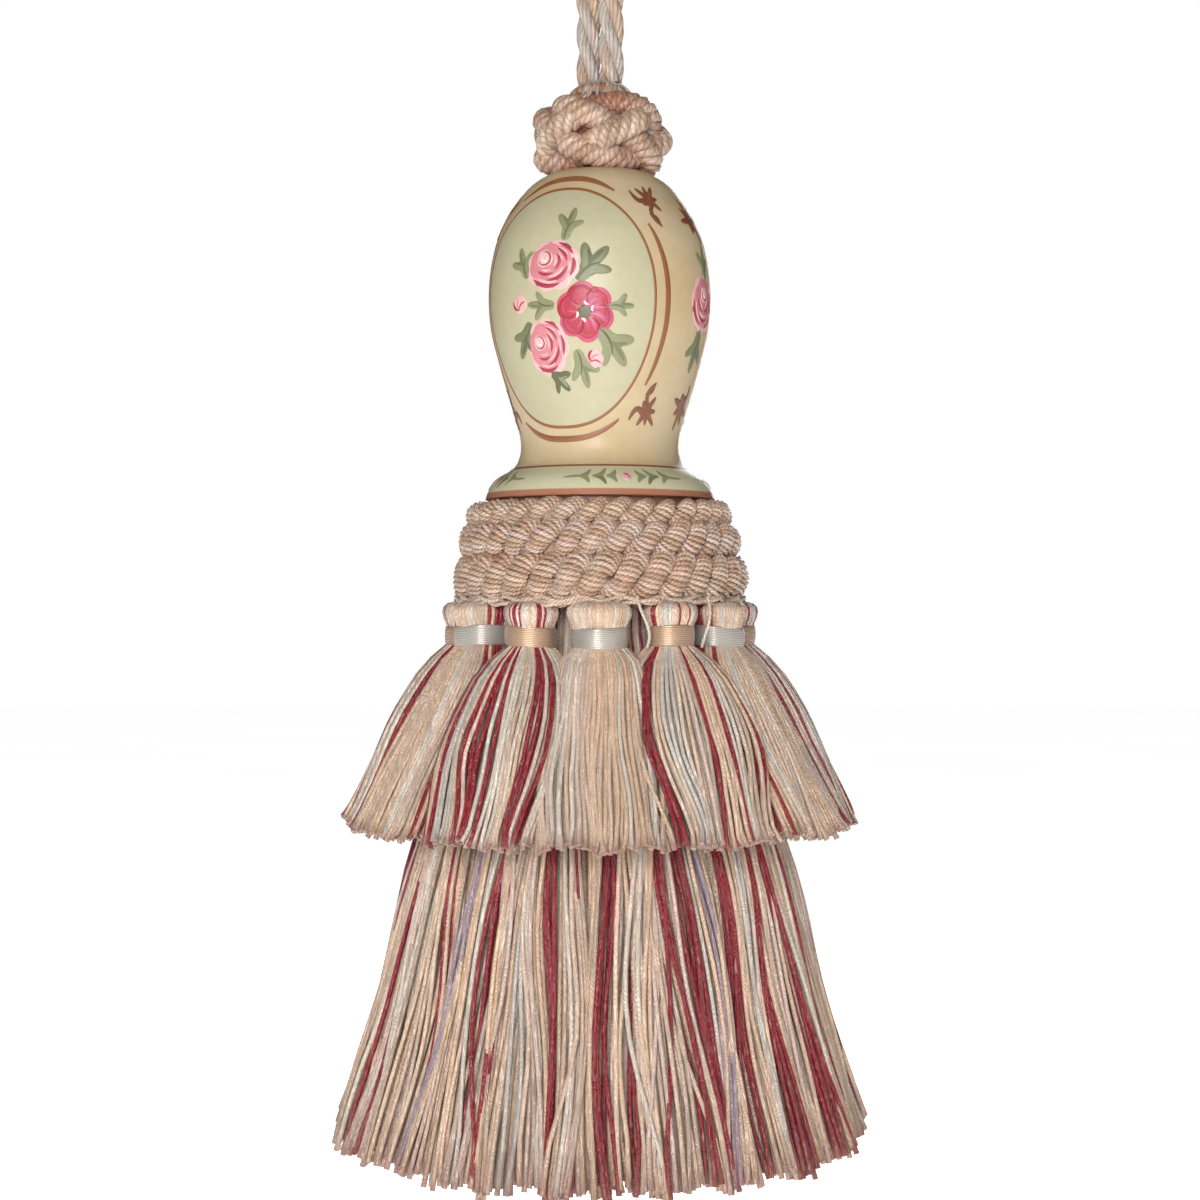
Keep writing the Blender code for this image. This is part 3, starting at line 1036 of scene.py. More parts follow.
    def paint_leaf(self, root: Spot, turn: float, size: float) -> None:
        """Paint a leaf of three rounded fingers on a short stalk.

        Args:
            root: the foot of its stalk.
            turn: the way the leaf points, in degrees.
            size: its whole length.
        """
        shades = (Shade.LEAF, Shade.LEAF_DARK, Shade.LEAF_LIGHT, Shade.LEAF)
        pick = int(abs(turn) + 10 * size) % 3
        heart = self.beside(root, turn, 0.36 * size)
        self.stroke(self.ray(root, turn, 0.5 * size), 0.34 * size, shades[pick], 1, 0.3)
        self.hand(heart, turn, 0.66 * size, self.leaf_fingers, 0.30, shades[pick], 1)
        self.stroke(self.ray(heart, turn + 2, 0.54 * size, 0.06), 0.17 * size, shades[pick + 1], 2)
        self.stroke(self.ray(heart, turn + 46, 0.42 * size, -0.1), 0.14 * size, shades[pick + 1], 2)
        self.stroke(self.ray(root, turn - 10, 0.64 * size, 0.12), 0.10 * size, Shade.LEAF_DARK, 3)

    def paint_flourish(self, centre: Spot, turn: float, size: float) -> None:
        """Paint a scroll's leafy corner."""
        self.hand(centre, turn, size, self.scroll_fingers, 0.40, Shade.FLOURISH, 3)
        self.stroke(self.ray(centre, turn - 20, 0.8 * size, 0.15), 0.26 * size, Shade.LINE_BROWN, 4)

    def paint_medallion(self, centre: float) -> None:
        """Paint a medallion's two lines and the leafy corners between them."""
        start = len(self.dabs)
        self.stroke(self.oval(self.half_angle, self.half_height, 0, 360), 0.60, Shade.LINE_BROWN, 1, 0.0)
        for low, high in ((-33, 35), (60, 122), (145, 213), (236, 304)):
            line = self.oval(self.outer_angle, self.outer_height, low, high)
            self.stroke(line, 1.25, Shade.LINE_BROWN, 1, 0.3)
        for side in (-1, 1):
            across = side * 21.5
            for up, lean in ((20.8, 62), (-19.9, -30)):
                turn = lean if side > 0 else 180 - lean
                hook = math.copysign(1.0, up)
                self.paint_flourish((across, up), turn, 3.7)
                curls = (
                    ((0.0, 0.6), (-4.6, 1.7), 0.34 * side * hook, 1.1, 0.35),
                    ((1.0, 0.0), (1.7, -5.4), -0.3 * side * hook, 1.1, 0.35),
                    ((-0.9, -3.2), (1.5, -5.2), 0.2 * hook, 0.8, 0.5),
                )
                for start_at, end_at, bow, width, blunt in curls:
                    ends = ((across + side * x, up + y * hook) for x, y in (start_at, end_at))
                    self.stroke(self.curl(*ends, bow), width, Shade.FLOURISH, 2, blunt)
        self.move(start, centre)

    def paint_bunch(self, centre: float) -> None:
        """Paint the bunch of flowers in a medallion."""
        start = len(self.dabs)
        self.paint_rose((-3.7, 7.4), 5.9, 138, 0.86)
        self.paint_bloom((2.9, -1.6), 5.6, 40)
        self.paint_rose((-5.6, -7.9), 5.0, 150, 1.10)
        self.paint_bud((-11.3, 0.7), 1.9, 80)
        self.paint_bud((4.9, -10.3), 1.8, 30)
        for leaf in self.bunch_leaves:
            self.paint_leaf((leaf.across, leaf.up), leaf.turn, leaf.size)
        self.move(start, centre)

    def paint_spray(self, centre: float) -> None:
        """Paint the single rose between two medallions, with its leaves and scrolls."""
        start = len(self.dabs)
        self.paint_rose((0.0, 1.6), 5.2, 95, 1.14)
        for across, up, turn, size in ((0.6, 6.2, 86, 7.2), (-0.6, -3.4, -96, 8.4)):
            self.paint_leaf((across, up), turn, size)
        self.paint_flourish((-1.0, 18.0), 110, 4.4)
        self.stroke(self.curl((-0.4, 17.0), (1.6, 13.6), 0.2), 1.3, Shade.FLOURISH, 2, 0.4)
        self.paint_flourish((-0.4, -18.4), 262, 4.8)
        self.stroke(self.curl((0.2, -18.0), (1.4, -14.0), -0.2), 1.2, Shade.FLOURISH, 2, 0.4)
        self.move(start, centre)

    def move(self, start: int, centre: float) -> None:
        """Move the strokes made since a start to an angle round the head."""
        step = np.array((self.belly * centre, 0.0))
        self.dabs[start:] = [dab._replace(line=dab.line + step) for dab in self.dabs[start:]]

    def paint_foot(self) -> None:
        """Paint the foot: its thin line, and a bud between two sprigs, four times round."""
        ring = np.linspace(0.0, TAU, 97)
        level = self.centre_drop - self.foot_line
        self.stroke(np.stack((self.belly * ring, np.full(97, level)), axis=-1), 0.5, Shade.LINE_BROWN, 1, 0.0)
        middle = self.centre_drop - (self.foot_line + self.brown_top) / 2
        stretch = self.belly / self.foot_radius
        for number in range(self.foot_groups):
            centre = self.belly * (self.foot_turn + TAU * number / self.foot_groups)
            for side in (-1, 1):
                stem = (centre + side * 11.0 * stretch, middle - 0.2)
                line = self.curl(stem, (centre + side * 7.0 * stretch, middle), 0.02)
                self.stroke(line, 0.5, Shade.LEAF_LIGHT, 2, 0.4)
                for step, lean in ((0, 1.0), (1, 1.2), (2, 0.9)):
                    root = (centre + side * (8.4 - 2.4 * step) * stretch, middle)
                    for up in (-1, 1):
                        tip = (root[0] - side * 2.3 * lean, middle + up * 1.35 * lean)
                        shade = Shade.LEAF_LIGHT if step + up else Shade.LEAF
                        self.stroke(self.curl(root, tip, 0.2 * up * side), 0.95, shade, 3, 0.5)
            self.petals((centre, middle), 1.0, 4, 0.15, Shade.ROSE_LIGHT, 2)
            mark = self.curl((centre - 0.7, middle + 0.5), (centre + 0.6, middle - 0.5), 0.2)
            self.stroke(mark, 0.7, Shade.CRIMSON, 3)

    def lay_fill(self, weaver: Weaver, dab: Dab) -> None:
        """Add a filled shape to the mesh, a little thicker at its middle."""
        share = np.array((0.02, 0.35, 0.7, 0.93, 1.0))
        rim = np.concatenate((dab.line[1:], dab.line[1:2]))[::-1]
        spots = dab.line[0] + share[:, None, None] * (rim - dab.line[0])
        lift = self.lift + dab.layer * self.layer_step + self.swell * (1 - share**2)
        lift = np.where(share < 1.0, lift, 0.0)[:, None]
        surface = self.surface.lay_on(spots[..., 0] / self.belly, self.centre_drop - spots[..., 1], lift)
        weaver.add_patch(surface, dab.shade.linear())

    def lay_dab(self, weaver: Weaver, dab: Dab) -> None:
        """Add a stroke to the mesh: a ribbon, pressed at its middle and pointed at its ends."""
        fine = int(1.6 * len(dab.line))
        share = np.linspace(0.0, 1.0, fine)
        knots = np.linspace(0.0, 1.0, len(dab.line))
        line = np.stack([blend_rows(share, knots, dab.line[:, axis]) for axis in (0, 1)], axis=-1)
        run = unit(np.gradient(line, axis=0))
        side = np.stack((-run[:, 1], run[:, 0]), axis=-1)
        press = 1.0 if dab.blunt == 0.0 else np.sin(math.pi * np.clip(share, 0.02, 0.98)) ** dab.blunt
        cross = np.linspace(-0.5, 0.5, self.across_steps + 1)
        width = (dab.width * press * np.ones(fine))[:, None]
        spots = line[:, None] + (width * cross)[:, :, None] * side[:, None]
        lift = self.lift + dab.layer * self.layer_step + self.swell * (1 - (2 * cross) ** 2)
        lift = np.where(np.abs(cross) > 0.49, 0.0, lift)
        surface = self.surface.lay_on(spots[..., 0] / self.belly, self.centre_drop - spots[..., 1], lift)
        weaver.add_patch(surface[:, ::-1], dab.shade.linear())

    def make(self) -> bpy.types.Object:
        """Paint everything and make the raised paint one mesh."""
        for half in (0.0, math.pi):
            self.paint_medallion(self.centre_angle + half)
            self.paint_bunch(self.bunch_angle + half)
            self.paint_spray(self.spray_angle + half)
        self.paint_foot()
        weaver = Weaver("head_brushwork")
        for dab in self.dabs:
            lay = self.lay_dab if dab.width else self.lay_fill
            lay(weaver, dab)
        return weaver.make(BrushFinish("brushed paint").make())


@dataclass
class Head:
    """The turned and painted head, with its plain core inside the collar."""

    node: str = "turned_head"
    sides: int = 128
    step: float = 0.8
    top_radii: tuple[float, ...] = (0.0, 5.0, 9.6)
    foot_end: float = 159.3
    foot_edge: float = 22.6
    core_radius: float = 20.5
    core_middle: float = 170.0
    core_end: float = 179.6
    outline: tuple[Turning, ...] = (
        Turning(94.6, 10.6),
        Turning(95.8, 12.6),
        Turning(100.4, 16.8),
        Turning(106.6, 20.2),
        Turning(112.8, 21.7),
        Turning(118.8, 22.15),
        Turning(125.2, 21.7),
        Turning(131.7, 20.2),
        Turning(138.1, 18.4),
        Turning(143.7, 16.7),
        Turning(147.3, 15.85),
        Turning(150.1, 15.95),
        Turning(152.7, 17.2),
        Turning(155.1, 20.7),
        Turning(157.3, 22.3),
        Turning(159.0, 22.9),
    )

    def build(self) -> None:
        """Turn the head, paint it, and settle both pieces."""
        surface = HeadSurface(self.outline)
        art = HeadArt(surface)
        drops = np.arange(self.outline[0].drop, self.outline[-1].drop, self.step)
        drops = np.append(drops, self.outline[-1].drop)
        radii = surface.radius(drops)
        top = [(self.outline[0].drop, radius) for radius in self.top_radii]
        foot = [(self.foot_end - 0.1, self.foot_edge), (self.foot_end, self.core_radius)]
        core = [(drop, self.core_radius) for drop in (self.core_middle, self.core_end)]
        rows = np.array([*top, *zip(drops, radii), *foot, *core, (self.core_end, 10.0), (self.core_end, 0.0)])
        points = round_axis(ring(self.sides)[None, :], rows[:, 1:], rows[:, :1])
        along = np.cumsum(np.append(0.0, np.hypot(*np.diff(rows, axis=0).T)))
        weaver = Weaver("painted_head")
        weaver.add_barrel(points[1:-1, ::-1], Shade.CREAM.linear(), along[1:-1])
        head = weaver.make(PaintFinish("painted wood").make(art), sharp_from=50.0)
        settle(head, "painted_wood", self.node)
        brushwork = art.make()
        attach(brushwork, BODY)
        LOG.info("%s: %d triangles", brushwork.name, count_triangles(brushwork))


class RoutePoint(NamedTuple):
    """A point of the loop's leg: its distance across from the axis and its height."""

    across: float
    height: float


@dataclass
class HangingLoop:
    """The hanging loop: a laid cord, up one leg, round the eye and down the other."""

    node: str = "hanging_loop"
    diameter: float = 4.8
    length: float = 172.0
    lay: float = 22.0
    points: int = 64
    turn: float = math.radians(-32.0)
    strands: int = 3
    yarns: int = 6
    strand_offset: float = 1.26
    strand_radius: float = 1.32
    yarn_radius: float = 0.55
    yarn_lay: float = 16.0
    samples: int = 300
    leg: tuple[RoutePoint, ...] = (
        RoutePoint(2.60, -76.2),
        RoutePoint(2.60, -70.5),
        RoutePoint(2.60, -64.8),
        RoutePoint(2.70, -59.0),
        RoutePoint(3.05, -53.0),
        RoutePoint(3.75, -46.8),
        RoutePoint(4.80, -40.5),
        RoutePoint(6.15, -34.2),
        RoutePoint(7.65, -28.0),
        RoutePoint(9.10, -22.2),
        RoutePoint(10.30, -17.0),
        RoutePoint(11.00, -12.6),
        RoutePoint(11.20, -8.60),
        RoutePoint(10.35, -4.31),
        RoutePoint(7.92, -0.68),
        RoutePoint(4.29, 1.75),
        RoutePoint(0.00, 2.60),
    )

    def route(self, count: int) -> Array:
        """Read points from the smooth curve through both legs' own points.

        Args:
            count: how many points.

        Returns:
            The points, evenly numbered along the curve, turned to face as the loop hangs.
        """
        one = np.array(self.leg)
        both = np.concatenate((one, one[-2::-1] * (-1, 1)))
        padded = np.concatenate(([2 * both[0] - both[1]], both, [2 * both[-1] - both[-2]]))
        spans = len(both) - 1
        along = np.linspace(0.0, spans, count)
        span = np.minimum(along.astype(int), spans - 1)
        t = (along - span)[:, None]
        a, b, c, d = (padded[span + step] for step in range(4))
        flat = 0.5 * (
            2 * b + (c - a) * t + (2 * a - 5 * b + 4 * c - d) * t**2 + (3 * b - a - 3 * c + d) * t**3
        )
        x = flat[:, 0] * math.cos(self.turn)
        y = flat[:, 0] * math.sin(self.turn)
        return np.stack((x, y, flat[:, 1]), axis=-1)

    def build(self) -> None:
        line = self.route(self.samples)
        plane = np.array((-math.sin(self.turn), math.cos(self.turn), 0.0))
        run = run_lengths(line)
        strands = ply(line, plane, self.strands, self.strand_offset, run / self.lay)
        weaver = Weaver("laid_cord")
        shades = (
            (Shade.PEARL, Shade.PEARL, Shade.IVORY, Shade.PEARL, Shade.IVORY, Shade.PEARL),
            (Shade.GOLD, Shade.GOLD, Shade.PEACH, Shade.SAND, Shade.GOLD, Shade.PEACH),
            (Shade.PEARL, Shade.BLUSH, Shade.PEACH, Shade.IVORY, Shade.BLUSH, Shade.PEARL),
        )
        for strand, tints in zip(strands, shades):
            turns = -run_lengths(strand) / self.yarn_lay
            yarns = ply(strand, plane, self.yarns, self.strand_radius - self.yarn_radius, turns)
            weaver.add_tubes(yarns, self.yarn_radius, tints_of(*tints), plane)
        cord = weaver.make(YarnFinish("laid cord", lay=4.5, contrast=0.10, level=0.70, depth=0.05).make())
        settle(cord, "laid_cord", self.node)
        path = self.route(self.points) * MM


@dataclass
class Knot:
    """The knot on top of the head: one plied cord led four times round, over and under itself."""

    node: str = "top_knot"
    leads: int = 4
    bights: int = 5
    cord_radius: float = 2.75
    strands: int = 4
    strand_radius: float = 1.12
    strand_lay: float = 7.5
    weave_depth: float = 1.25
    spread: float = 1.2
    top: float = 79.3
    bottom: float = 95.3
    samples: int = 1300
    sides: int = 7
    inner_share: float = 0.72
    turn: float = math.radians(20.0)
    splayed_ends: int = 26
    lump_ends: int = 7

    def cord_line(self, outer: float) -> Array:
        """Lead the knot's cord round the barrel and back to its start.

        Args:
            outer: the solid knot's greatest radius.

        Returns:
            The closed line's points in millimetres.
        """
        middle = (self.top + self.bottom) / 2
        half = (self.bottom - self.top) / 2 - self.cord_radius
        t = TAU * self.leads * np.arange(self.samples) / self.samples
        phase = self.bights * t / self.leads
        level = np.cos(phase) + 0.06 * np.sin(2 * t + 1.0)
        barrel = 1 - 0.20 * np.abs(level) ** 3
        radius = (outer + self.spread - self.cord_radius - self.weave_depth) * barrel
        radius = radius + self.weave_depth * np.sin((self.leads - 1) * phase)
        wander = 0.07 * np.sin(3 * t + 0.5)
        return round_axis(t + self.turn + wander, radius, middle - half * level)

    def build(self) -> None:
        """Work the knot round its filling and settle it."""
        _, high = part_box(self.node)
        outer = high.x / MM
        line = self.cord_line(outer)
        outward = away(line)
        turns = closed_turns(line, self.strand_lay)
        strands = ply(line, outward, self.strands, self.cord_radius - self.strand_radius, turns)
        # painted shade: strand points that lie further in are blended towards terracotta, as shade in the
        # knot's recesses
        reach = np.hypot(strands[..., 0], strands[..., 1])
        lift = ease((reach - (outer - 4.6)) / 4.2)
        tints = tints_of(Shade.GIMP, Shade.GIMP_DEEP, Shade.GIMP, Shade.PEACH)
        weaver = Weaver("plied_knot")
        tint = blend(np.broadcast_to(Shade.TERRACOTTA.linear(), strands.shape), tints[:, None], lift)
        weaver.add_tubes(strands, self.strand_radius, tint, outward, self.sides, closed=True)
        self.add_filling(weaver, outer)
        self.add_neck(weaver)
        knot = weaver.make(GimpFinish("plied gimp", pitch=1.1, threads=3, level=0.86).make())
        settle(knot, "peach_gimp", self.node)

    def add_filling(self, weaver: Weaver, outer: float) -> None:
        """Add the yarn filling that the knot is worked round; its dark rust tint is painted shade, seen
        through the gaps between the cord's passes.
        """
        turn = np.linspace(0.04, 0.96, 12) * math.pi
        radius = self.inner_share * outer * np.sin(turn) ** 0.4
        drop = self.top + 1.0 + (self.bottom - self.top - 1.2) * (1 - np.cos(turn)) / 2
        rings = round_axis(-ring(32)[None], radius[:, None], drop[:, None])
        # painted shade: the filling's dark rust shows as shade between the cord's passes
        weaver.add_barrel(rings, Shade.RUST.linear(), drop - drop[0])

    def add_neck(self, weaver: Weaver) -> None:
        """Add the turns of yarn round the cord above the knot, and the ends splayed over them."""
        rounds = (
            (5.6, 0.05, 80.4, 0.95, (Shade.TERRACOTTA, Shade.GIMP_DEEP, Shade.RUST)),
            (4.9, -0.14, 79.0, 0.85, (Shade.TERRACOTTA, Shade.GIMP, Shade.GIMP_DEEP)),
            (4.3, 0.18, 77.9, 0.65, (Shade.PEARL, Shade.GIMP, Shade.GIMP)),
        )
        angle = ring(72)
        for number, (radius, tilt, drop, thick, shades) in enumerate(rounds):
            line = round_axis(angle, radius, drop + tilt * radius * np.sin(angle + 0.4 + number))
            outward = away(line)
            strands = ply(line, outward, 3, thick, np.arange(72) / 72 * (7 + number))
            weaver.add_tubes(strands, thick, tints_of(*shades), outward, 6, closed=True)
        share = np.linspace(0.0, 1.0, 14)
        for number in range(self.splayed_ends):
            around = math.radians(-30 + 150 * number / (self.splayed_ends - 1) + 9 * math.sin(5 * number))
            reach = 1.8 + (5.6 + 0.9 * math.sin(3 * number)) * share
            drop = 76.3 - 0.5 * np.sin(math.pi * share) + 4.4 * share**2.0
            line = round_axis(around + 0.3 * share * math.sin(number), reach, drop)[None]
            shade = (Shade.PEARL, Shade.IVORY, Shade.PEACH)[number % 3]
            weaver.add_tubes(line, 0.36, tints_of(shade))
        for number in range(self.lump_ends):
            around = math.radians(-62 + 9 * number)
            drop = 78.9 - (2.4 - 0.12 * number) * np.sin(math.pi * share)
            line = round_axis(around + 0.1 * share, 1.6 + 4.2 * share, drop)[None]
            weaver.add_tubes(line, 0.5, tints_of(Shade.IVORY if number % 2 else Shade.PEARL))


class Round(NamedTuple):
    """A round of the collar: its node, its lobes' height and slant, and how they are placed."""

    node: str
    middle: float
    strand_radius: float
    rise: float
    shift: float
    ruffle: float
    thread_lay: float


@dataclass
class Collar:
    """The collar: three rounds of thick two-stranded gimp, sewn one above the other."""

    lobes: int = 32
    core_radius: float = 20.8
    strands: int = 2
    threads: int = 4
    thread_radius: float = 0.47
    thread_samples: int = 760
    core_samples: int = 360
    fullness: float = 0.5
    rounds: tuple[Round, ...] = (
        Round("collar_round_1", 162.6, 1.85, 1.35, 0.25, 0.35, 3.2),
        Round("collar_round_2", 167.5, 2.20, 1.95, 0.60, 0.65, 3.4),
        Round("collar_round_3", 174.7, 2.50, 2.80, 0.05, 0.35, 3.5),
    )

    def build(self) -> None:
        """Lay each round, and sew along the lowest one."""
        material = GimpFinish("peach gimp", pitch=0.85, threads=2).make()
        for number, lay in enumerate(self.rounds):
            low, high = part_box(lay.node)
            outer = high.x / MM
            weaver = Weaver(f"gimp_round_{number + 1}")
            for strand in range(self.strands):
                self.add_strand(weaver, lay, outer, number, strand)
            angle = ring(96)
            # painted shade: a terracotta tube low behind the lobes, which shows as shade in the gaps between
            # them
            filling = round_axis(angle, outer - 4.4, lay.middle + lay.rise + 0.5)[None]
            weaver.add_tubes(filling, 2.1, tints_of(Shade.TERRACOTTA), UP, 8, closed=True)
            if lay is self.rounds[-1]:
                self.add_sewing(weaver, outer, -low.z / MM)
            settle(weaver.make(material), "peach_gimp", lay.node)

    def strand_line(self, lay: Round, outer: float, number: int, strand: int, samples: int) -> Array:
        """Lead one strand round, rising over the outer side and falling behind.

        Args:
            lay: the round.
            outer: the solid round's radius.
            number: which round it is, from the top.
            strand: which strand.
            samples: how many points.

        Returns:
            The closed line's points.
        """
        angle = ring(samples)
        uneven = 0.16 * np.sin(7 * angle + number) + 0.10 * np.sin(13 * angle + 2 * number)
        turn = self.lobes / 2 * angle + TAU * lay.shift + math.pi * strand + uneven * (0.5 + lay.ruffle)
        ruffle = lay.ruffle * np.sin(11 * angle + 5 * strand + number)
        depth = outer + self.fullness - lay.strand_radius
        swing = min(1.5, (depth - self.core_radius) / 2 + 0.6)
        radius = depth - swing + swing * np.cos(turn) + 0.35 * ruffle
        drop = lay.middle - lay.rise * np.sin(turn) - 0.45 * ruffle
        return round_axis(angle, radius, drop)

    def add_strand(self, weaver: Weaver, lay: Round, outer: float, number: int, strand: int) -> None:
        """Add a strand: its body, tinted terracotta as painted shade between the threads, and the threads
        that are wound round it, blended towards terracotta as painted shade where they lie further in.

        Args:
            weaver: the mesh that it is added to.
            lay: the round.
            outer: the solid round's radius.
            number: which round it is, from the top.
            strand: which strand.
        """
        body = self.strand_line(lay, outer, number, strand, self.core_samples)
        outward = away(body)
        wound = lay.strand_radius - self.thread_radius
        # painted shade: the strand's body is tinted terracotta, seen as shade between the wound threads
        weaver.add_tubes(body[None], wound, tints_of(Shade.TERRACOTTA), outward, 6, closed=True)
        line = self.strand_line(lay, outer, number, strand, self.thread_samples)
        outward = away(line)
        swell = wound * (1 + 0.10 * np.sin(29 * ring(self.thread_samples)))
        threads = ply(line, outward, self.threads, 1.0, -closed_turns(line, lay.thread_lay))
        threads = line + (threads - line) * swell[:, None]
        # painted shade: thread points that lie further in are blended towards terracotta, as shade in the
        # round's recesses
        reach = np.hypot(threads[..., 0], threads[..., 1])
        lift = ease((reach - (outer - 4.0)) / 3.0)
        last = Shade.BLUSH if number == 1 else Shade.PEACH
        tints = tints_of(Shade.GIMP, Shade.GIMP_DEEP, Shade.GIMP, last)[:, None]
        tint = blend(np.broadcast_to(Shade.TERRACOTTA.linear(), threads.shape), tints, lift)
        weaver.add_tubes(threads, self.thread_radius, tint, outward, closed=True)

    def add_sewing(self, weaver: Weaver, outer: float, bottom: float) -> None:
        """Add the yarns that wander along the lowest edge, four terracotta rings behind them as painted shade
        under the collar, and a loose one.

        Args:
            weaver: the mesh that they are added to.
            outer: the solid round's radius.
            bottom: the round's lowest drop.
        """
        angle = ring(280)
        for number in range(6):
            wave = np.sin((15 + 4 * number) * angle + number) + 0.5 * np.sin((29 - 3 * number) * angle)
            drop = bottom + 0.1 + 0.45 * wave - 0.35 * (number % 3)
            radius = outer - 0.9 - 1.5 * (number // 3) + 0.5 * np.cos((19 + number) * angle)
            shade = Shade.SAND if number % 2 else Shade.PEACH
            weaver.add_tubes(round_axis(angle, radius, drop)[None], 0.42, tints_of(shade), closed=True)
        # painted shade: four terracotta rings under the lowest round, as shade beneath the collar
        for number in range(4):
            line = round_axis(angle, 17.0 + 2.1 * number, bottom + 0.15 + 0.2 * np.sin(9 * angle + number))
            weaver.add_tubes(line[None], 0.8, tints_of(Shade.TERRACOTTA), closed=True)
        share = np.linspace(0.0, 1.0, 24)
        for start, sway in ((13.5, 5.2), (43.0, -4.0)):
            turn = np.radians(start + sway * np.sin(2.4 * share) * share)
            loose = round_axis(turn, outer + 0.5 + 1.5 * np.sin(math.pi * share), bottom - 1.0 + 9.5 * share)
            weaver.add_tubes(loose[None], 0.32, tints_of(Shade.IVORY))


class Level(NamedTuple):
    """A level of a bundle of yarn: drop, distance from the axis, half width and half depth."""

    drop: float
    reach: float
    half_width: float
    half_depth: float


class Layer(NamedTuple):
    """A layer of yarns in a bundle: how far out it lies, from 0 to 1, and how many it has."""

    share: float
    yarns: int


class Stripe(NamedTuple):
    """A group of like yarns: its middle and half width across the bundle, and its colour."""

    middle: float
    half: float
    shade: Shade


class Kind(Enum):
    """The two kinds of small tassel."""

    PLAIN = "plain_yarn"
    STRIPED = "striped_yarn"

    @property
    def slimness(self) -> float:
        """The size of the kind's neck against the plain one's."""
        return 1.0 if self is Kind.PLAIN else 0.87


def read_levels(levels: tuple[Level, ...], share: Array) -> tuple[Array, ...]:
    """Give the drop, reach, half width and half depth for each share of the way down."""
    rows = np.array(levels)
    drop = rows[0, 0] + share * (rows[-1, 0] - rows[0, 0])
    return drop, *(blend_rows(drop, rows[:, 0], rows[:, column]) for column in (1, 2, 3))


@dataclass(frozen=True)
class Dye:
    """How a bundle's yarns are coloured: a mixed ground of pale yarns, and groups of one colour."""

    ground: tuple[tuple[Shade, float], ...] = (
        (Shade.PEACH, 0.42),
        (Shade.GOLD, 0.20),
        (Shade.SAND, 0.16),
        (Shade.BLUSH, 0.12),
        (Shade.IVORY, 0.10),
    )
    unevenness: float = 0.07

    def colour(
        self, across: Array, depth: Array, stripes: tuple[Stripe, ...], rng: np.random.Generator
    ) -> Array:
        """Tint yarns.

        Args:
            across: each yarn's place across the bundle, in the stripes' units.
            depth: the number of each yarn's layer, 0 being the surface.
            stripes: the groups of one colour, seen in the two outer layers.
            rng: the source of chance.

        Returns:
            A tint for each yarn.
        """
        shades, shares = zip(*self.ground)
        ground = tints_of(*shades)
        tints = ground[rng.choice(len(ground), len(across), p=shares)]
        patch = np.sin(3.1 * across / np.ptp(across) * TAU + rng.uniform(0, TAU))[:, None]
        uneven = rng.normal(1, self.unevenness, (len(across), 1))
        tints = tints * (1 + 0.06 * patch * (-0.2, 0.2, 0.7)) * uneven
        for stripe in stripes:
            chosen = (np.abs(across - stripe.middle) < stripe.half) & (depth < 2)
            tints[chosen] = stripe.shade.linear() * rng.uniform(0.88, 1.08, (int(chosen.sum()), 1))
        return tints


@dataclass(frozen=True)
class Fringe:
    """How cut yarn hangs: in clumps that part and sway together, with frayed, darker ends."""

    radius: float = 0.45
    clumps: int = 9
    gather: float = 0.10
    sway: float = 0.5
    wave: float = 0.16
    hem: float = 0.7
    frayed: float = 2.6

    def shares(self, levels: int, length: float) -> Array:
        """Give how far down the fall each level is, with two close levels at the frayed end."""
        end = 1 - self.frayed / length
        return np.append(np.linspace(0.0, end, levels - 2), (1 - 0.4 * self.frayed / length, 1.0))

    def clump_pull(self, places: Array, seed: int) -> Array:
        """Give the step from each yarn towards the middle of its clump, on the unit section."""
        middles = 0.9 * square_to_disc(spread_evenly(self.clumps, seed + 7))
        nearest = np.argmin(((places[:, None] - middles) ** 2).sum(-1), axis=1)
        return self.gather * (middles[nearest] - places)

    def swaying(self, across: Array, share: Array, seed: int) -> Array:
        """Give the sway that neighbouring yarns share, in millimetres.

        Args:
            across: each yarn's place in millimetres across the bundle, about half way down.
            share: how far down the fall each level is.
            seed: which pattern of sway.

        Returns:
            The sway by yarn, level and direction, sideways and outwards.
        """
        grown = ease(1.5 * share)
        place = across[:, None]
        side = np.sin(place / 1.9 + 3.1 * share + seed) + 0.8 * np.sin(place / 1.1 - 5.0 * share + 2.3 * seed)
        side = side + 0.9 * np.sin(place / 4.3 + 6.5 * share + 1.7 * seed)
        out = np.cos(place / 1.6 - 4.0 * share + seed) + 0.6 * np.sin(place / 0.9 + 7.0 * share + 0.6 * seed)
        return self.sway * grown[None, :, None] * np.stack((side, 0.8 * out), axis=-1)

    def wandering(self, count: int, share: Array, rng: np.random.Generator) -> Array:
        """Give each yarn's own wander by yarn, level and direction, in millimetres."""
        phase = rng.uniform(0, TAU, (count, 1, 2))
        pace = rng.uniform(0.9, 2.8, (count, 1, 2))
        size = self.wave * rng.uniform(0.3, 1.8, (count, 1, 2))
        bend = rng.normal(0.0, 0.45, (count, 1, 2)) * (np.clip(share - 0.9, 0, 1) * 10)[None, :, None] ** 2
        wave = np.sin(phase + TAU * pace * share[None, :, None])
        return size * ease(share * 2)[None, :, None] * wave + bend

    def thickness(self, share: Array) -> Array:
        """Give the yarns' radius at each level: the twist opens at the cut end."""
        return self.radius * (1 + 0.24 * ease((share - 0.955) / 0.045))

    def tint(self, tints: Array, share: Array) -> Array:
        """Darken the frayed ends of the yarns, giving a tint for each yarn and level."""
        frayed = 0.62 * ease((share - 0.95) / 0.05) * np.ones(len(tints))[:, None]
        return blend(tints[:, None], Shade.CUT_END.linear(), frayed)


